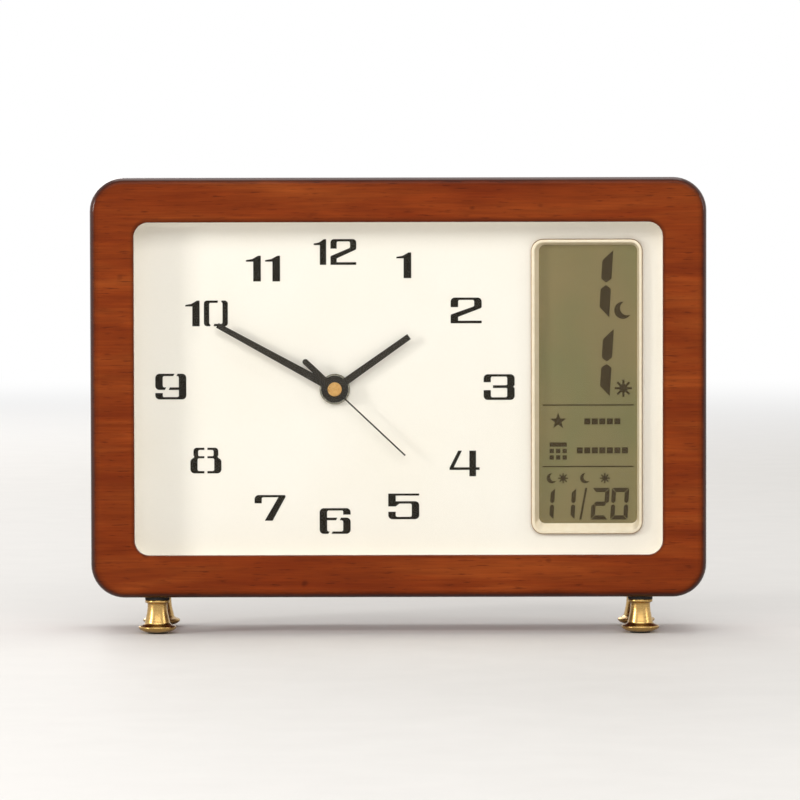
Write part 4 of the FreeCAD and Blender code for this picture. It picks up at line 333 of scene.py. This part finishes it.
brass = metal("foot_brass", linear(168, 134, 78), linear(194, 159, 100), 0.28, (0.15, 0.15, 6), 700, 0.12)
brass.on("foot_front_left", "foot_front_right", "foot_rear_left", "foot_rear_right")
metal("gold_cap", linear(204, 154, 90), linear(222, 178, 114), 0.3).on("second_hand_cap")
trim = metal(
    "trim_gold", linear(236, 221, 194), linear(240, 227, 203), 0.42, None, 500, 0.02, 0.0, Metallic=0.5,
)
trim_low, trim_high = (Vector(corner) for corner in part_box("lcd_bezel"))
# painted shadow: a thin brown line darkens the trim's outer edge, where it meets the dial
inside = edge_distance(trim, trim_low, trim_high, TRIM_CORNER)
trim_shadow = trim.ramp(trim.calc("DIVIDE", inside, TRIM_SHADOW_WIDTH), (0.12, linear(140, 110, 80)), (0.32, 1.0))
plain = trim.surface.inputs["Base Color"].links[0].from_socket
trim.set(Base_Color=trim.mix(1.0, plain, trim_shadow, "MULTIPLY")).on("lcd_bezel")
metal("nickel", linear(128, 125, 112), linear(158, 155, 142), 0.24).on("mounting_nut", "nut_washer")
metal("zinc_steel", linear(160, 160, 158), linear(196, 196, 194), 0.28).on(
    "cover_screws", "backer_screws", "module_screws", "foot_studs",
)
metal("turned_brass", linear(190, 146, 76), linear(216, 176, 104), 0.24).on("battery_contacts")
metal("steel", linear(150, 150, 150), linear(186, 186, 186), 0.3).on(
    "stator", "coil_core", "quartz_crystal", "button_cell",
)
metal("copper_wire", linear(150, 72, 34), linear(206, 118, 66), 0.26, (14, 0.3, 0.3), 300).on("coil_winding")


# radius and height of each ring of a foot, from the pad's hollow to the top, in millimetres
FOOT_RINGS = (
    (3.6, 0.5), (3.6, 0.0), (4.2, 0.0), (4.7, 0.15), (5.6, 0.5), (6.35, 0.95), (6.72, 1.45), (6.8, 1.75),
    (6.7, 2.05), (6.35, 2.3), (5.7, 2.5), (5.1, 2.7), (4.72, 3.0), (4.56, 3.3), (4.5, 3.6), (4.38, 4.2),
    (4.12, 5.2), (3.86, 6.4), (3.66, 7.6), (3.54, 8.8), (3.5, 9.8), (3.56, 10.3), (3.78, 10.5),
    (4.14, 10.56), (4.34, 10.66), (4.4, 10.9), (4.4, 11.3), (4.32, 11.56), (4.1, 11.7), (2.0, 11.7),
)
FOOT_SEGMENTS = 96


def turned_foot(name, node):
    """A smooth turned foot in place of the node's plain solid."""
    low, high = (Vector(corner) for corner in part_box(node))
    centre = (low + high) / 2
    points = []
    for radius, up in FOOT_RINGS:
        for step in range(FOOT_SEGMENTS):
            angle = 2 * math.pi * step / FOOT_SEGMENTS
            place = (radius * MM * math.cos(angle), radius * MM * math.sin(angle))
            points.append((centre.x + place[0], centre.y + place[1], low.z + up * MM))
    faces = []
    for ring in range(len(FOOT_RINGS) - 1):
        for step in range(FOOT_SEGMENTS):
            onward = (step + 1) % FOOT_SEGMENTS
            first, second = ring * FOOT_SEGMENTS, (ring + 1) * FOOT_SEGMENTS
            faces.append((first + step, first + onward, second + onward, second + step))
    last = (len(FOOT_RINGS) - 1) * FOOT_SEGMENTS
    faces.append(tuple(reversed(range(FOOT_SEGMENTS))))
    faces.append(tuple(last + step for step in range(FOOT_SEGMENTS)))
    shape = bpy.data.meshes.new(name)
    shape.from_pydata(points, [], faces)
    for face in shape.polygons:
        face.use_smooth = len(face.vertices) == 4
    piece = bpy.data.objects.new(name, shape)
    bpy.context.scene.collection.objects.link(piece)
    smooth = piece.modifiers.new("smooth", "SUBSURF")
    smooth.levels = smooth.render_levels = 1
    shape.materials.append(brass.material)
    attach(piece, "case")
    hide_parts(node)


for side in ("front_left", "front_right", "rear_left", "rear_right"):
    turned_foot("turned_foot_" + side, "foot_" + side)


def plastic(name, dark, light, rough, texture=700, depth=0.03 * MM, **settings):
    """A moulded plastic with a fine spark texture."""
    finish = Finish(name, Specular_IOR_Level=0.4, **settings)
    spark = finish.noise(texture, 4, 0.65)
    cloud = finish.noise(70, 2)
    tint = finish.ramp(cloud, (0.3, dark), (0.7, light))
    finish.set(
        Base_Color=finish.mix(0.3, tint, finish.ramp(spark, (0.35, 0.8), (0.65, 1.1)), "MULTIPLY"),
        Roughness=finish.vary(spark, rough * 0.85, rough * 1.15),
        Normal=finish.bump(spark, depth, 0.3),
    )
    return finish


plastic("black_plastic", linear(30, 30, 31), linear(38, 38, 39), 0.5, 1500).on(
    "movement_housing", "movement_back", "calendar_housing", "battery_door",
)
plastic("key_plastic", linear(62, 62, 64), linear(76, 76, 78), 0.42, 1100, 0.02 * MM).on(
    "setting_knob", "mode_button", "up_button", "down_button",
)
plastic("white_gear", linear(222, 221, 212), linear(236, 235, 228), 0.4, 1200, 0.01 * MM).on(
    "gear_bridge", "hour_wheel", "minute_wheel", "second_wheel", "third_wheel", "centre_wheel",
    "intermediate_wheel", "cannon_pinion", "setting_shaft",
)
plastic("dark_rubber", linear(24, 24, 24), linear(34, 33, 32), 0.78, 1400).on(
    "rubber_washer", "foot_washers", "zebra_connectors",
)
plastic("circuit_green", linear(18, 84, 44), linear(26, 104, 56), 0.32, 900, 0.015 * MM).on(
    "movement_circuit", "calendar_circuit",
)
plastic("switch_plastic", linear(44, 44, 46), linear(58, 58, 60), 0.45).on("tact_switches")
plastic(
    "cell_sleeve", linear(120, 122, 128), linear(130, 132, 138), 0.3, 900, 0.002 * MM, Metallic=0.4,
).on("battery")
plastic("ferrite", linear(50, 50, 52), linear(66, 66, 66), 0.5).on("rotor")

felt = Finish("felt", Specular_IOR_Level=0.1, Sheen_Weight=0.6, Sheen_Roughness=0.6)
fuzz = felt.noise(1600, 6, 0.75, None, 1.2)
felt.set(
    Base_Color=felt.ramp(fuzz, (0.3, linear(18, 18, 18)), (0.7, linear(48, 46, 44))),
    Roughness=felt.vary(fuzz, 0.85, 0.98),
    Normal=felt.bump(fuzz, 0.25 * MM, 0.8),
).on("foot_pads")

film = Finish("polariser_film", Specular_IOR_Level=0.1, Coat_Weight=0.08, Coat_Roughness=0.1)
grain = film.noise(3200, 2, 0.6)
cloud = film.noise(26, 2, 0.5, film.stretched((1.0, 1.0, 0.7)), 0.5)
tint = film.ramp(cloud, (0.32, linear(122, 117, 80)), (0.68, linear(137, 121, 85)))
film.set(
    Base_Color=film.mix(0.5, tint, film.ramp(grain, (0.3, 0.93), (0.7, 1.05)), "MULTIPLY"),
    Roughness=film.vary(grain, 0.3, 0.4),
    Normal=film.bump(grain, 0.006 * MM, 0.2),
).on("lcd_panel")

crystal = Finish("dark_segment", Specular_IOR_Level=0.1)
grain = crystal.noise(3000, 2, 0.6)
crystal.set(
    Base_Color=crystal.ramp(grain, (0.3, linear(62, 51, 32)), (0.7, linear(72, 61, 41))),
    Roughness=crystal.vary(grain, 0.36, 0.46),
).on("lcd_segments")

# light passes straight through the lens to the dial, and only seen rays meet its glass
glass = Finish(
    "clear_lens", Base_Color=(0.995, 1.0, 0.997, 1), Transmission_Weight=1.0, IOR=1.18, Roughness=0.0,
)
clear = glass.node("BsdfTransparent")
clear.inputs["Color"].default_value = (0.985, 0.99, 0.985, 1)
rays = glass.node("LightPath")
blend = glass.node("MixShader")
straight = glass.calc("MAXIMUM", rays.outputs["Is Shadow Ray"], rays.outputs["Is Diffuse Ray"])
straight = glass.calc("MAXIMUM", straight, rays.outputs["Is Glossy Ray"])
glass.join(straight, blend.inputs["Fac"])
glass.join(glass.surface.outputs["BSDF"], blend.inputs[1])
glass.join(clear.outputs["BSDF"], blend.inputs[2])
glass.join(blend.outputs["Shader"], glass.output.inputs["Surface"])
smear = glass.noise(30, 3)
glass.set(Roughness=glass.vary(smear, 0.0, 0.015)).on("glass_lens")


def seen_directly(finish):
    """1 for rays from the camera and for mirrored or refracted ones, and 0 for the rest."""
    rays = finish.node("LightPath")
    total = finish.calc("ADD", rays.outputs["Is Camera Ray"], rays.outputs["Is Glossy Ray"])
    total = finish.calc("ADD", total, rays.outputs["Is Transmission Ray"])
    return finish.calc("MINIMUM", total, 1.0)


# the floor turns white with distance where it is seen, and lights the clock as a plain floor
FLOOR_REACH = 6.0
FADE_START, FADE_END = 0.9, 2.6

mesh = bpy.data.meshes.new("floor")
sides = ((-1, -1), (1, -1), (1, 1), (-1, 1))
corners = [(side * FLOOR_REACH, depth * FLOOR_REACH, 0) for side, depth in sides]
mesh.from_pydata(corners, [], [(0, 1, 2, 3)])
floor = bpy.data.objects.new("floor", mesh)
bpy.context.scene.collection.objects.link(floor)
ground = Finish("pale_floor", Specular_IOR_Level=0.1)
mottle = ground.noise(40, 4)
ground.set(
    Base_Color=ground.ramp(mottle, (0.3, linear(226, 224, 221)), (0.7, linear(230, 228, 225))),
    Roughness=ground.vary(mottle, 0.55, 0.65),
)
length = ground.node("VectorMath")
length.operation = "LENGTH"
ground.join(ground.place, length.inputs[0])
reach = ground.spread(length.outputs["Value"], FADE_START, FADE_END, 0.0, 1.0)
reach.node.interpolation_type = "SMOOTHSTEP"
white = ground.node("Emission")
blend = ground.node("MixShader")
ground.join(ground.calc("MULTIPLY", reach, seen_directly(ground)), blend.inputs["Fac"])
ground.join(ground.surface.outputs["BSDF"], blend.inputs[1])
ground.join(white.outputs["Emission"], blend.inputs[2])
ground.join(blend.outputs["Shader"], ground.output.inputs["Surface"])
mesh.materials.append(ground.material)

# the world is white where it is seen and dimmer where it lights the clock
WORLD_LEVEL = 0.32
world = bpy.data.worlds.new("studio")
bpy.context.scene.world = world
world.use_nodes = True
tree = world.node_tree
sky = tree.nodes["Background"]
sky.inputs["Color"].default_value = (1, 1, 1, 1)
rays = tree.nodes.new("ShaderNodeLightPath")
seen = tree.nodes.new("ShaderNodeMath")
seen.operation = "ADD"
tree.links.new(rays.outputs["Is Camera Ray"], seen.inputs[0])
tree.links.new(rays.outputs["Is Glossy Ray"], seen.inputs[1])
more = tree.nodes.new("ShaderNodeMath")
more.operation = "ADD"
more.use_clamp = True
tree.links.new(seen.outputs["Value"], more.inputs[0])
tree.links.new(rays.outputs["Is Transmission Ray"], more.inputs[1])
level = tree.nodes.new("ShaderNodeMapRange")
tree.links.new(more.outputs["Value"], level.inputs["Value"])
level.inputs["To Min"].default_value = WORLD_LEVEL
level.inputs["To Max"].default_value = 1.0
tree.links.new(level.outputs["Result"], sky.inputs["Strength"])


def lamp(name, place, target, width, height, power, colour):
    """A soft area lamp that faces a point."""
    light = bpy.data.lights.new(name, "AREA")
    light.shape = "RECTANGLE"
    light.size, light.size_y = width, height
    light.energy = power
    light.color = colour
    lamp_object = bpy.data.objects.new(name, light)
    lamp_object.location = place
    lamp_object.rotation_euler = (Vector(target) - Vector(place)).to_track_quat("-Z", "Y").to_euler()
    bpy.context.scene.collection.objects.link(lamp_object)


# the middle of the dial, which every lamp faces
CENTRE = (0.0, -0.013, 0.088)
for name, place, width, height, power, colour in (
    ("overhead", (0.1, -1.55, 1.1), 1.9, 0.9, 16.2, (1.0, 0.985, 0.96)),
    ("left", (-1.62, -0.79, 0.45), 0.3, 0.4, 13.5, (1.0, 0.97, 0.93)),
    ("right", (1.4, -0.5, 0.5), 0.3, 0.6, 3.0, (1.0, 0.98, 0.96)),
    ("top", (0.0, 0.3, 2.1), 1.5, 1.5, 14.0, (1.0, 0.99, 0.98)),
    ("rear", (-0.7, 1.7, 0.9), 1.0, 0.8, 11.0, (1.0, 0.98, 0.96)),
):
    lamp(name, place, CENTRE, width, height, power, colour)

# the photograph's angle: a long lens a little above the clock, in pixels, metres and radians
PIXELS_WIDE = 800
FOCAL_PIXELS = 5050
SENSOR_WIDTH = 36.0
CAMERA_RIGHT, CAMERA_BACK, CAMERA_UP = 0.0007, -1.823, 0.155
PITCH, ROLL = 0.0395, 0.002

camera_data = bpy.data.cameras.new("camera")
camera_data.sensor_width = SENSOR_WIDTH
camera_data.lens = SENSOR_WIDTH * FOCAL_PIXELS / PIXELS_WIDE
camera = bpy.data.objects.new("camera", camera_data)
camera.location = (CAMERA_RIGHT, CAMERA_BACK, CAMERA_UP)
camera.rotation_mode = "XYZ"
camera.rotation_euler = (math.pi / 2 - PITCH, ROLL, 0)
bpy.context.scene.collection.objects.link(camera)
bpy.context.scene.camera = camera
bpy.context.scene.view_settings.view_transform = "Standard"
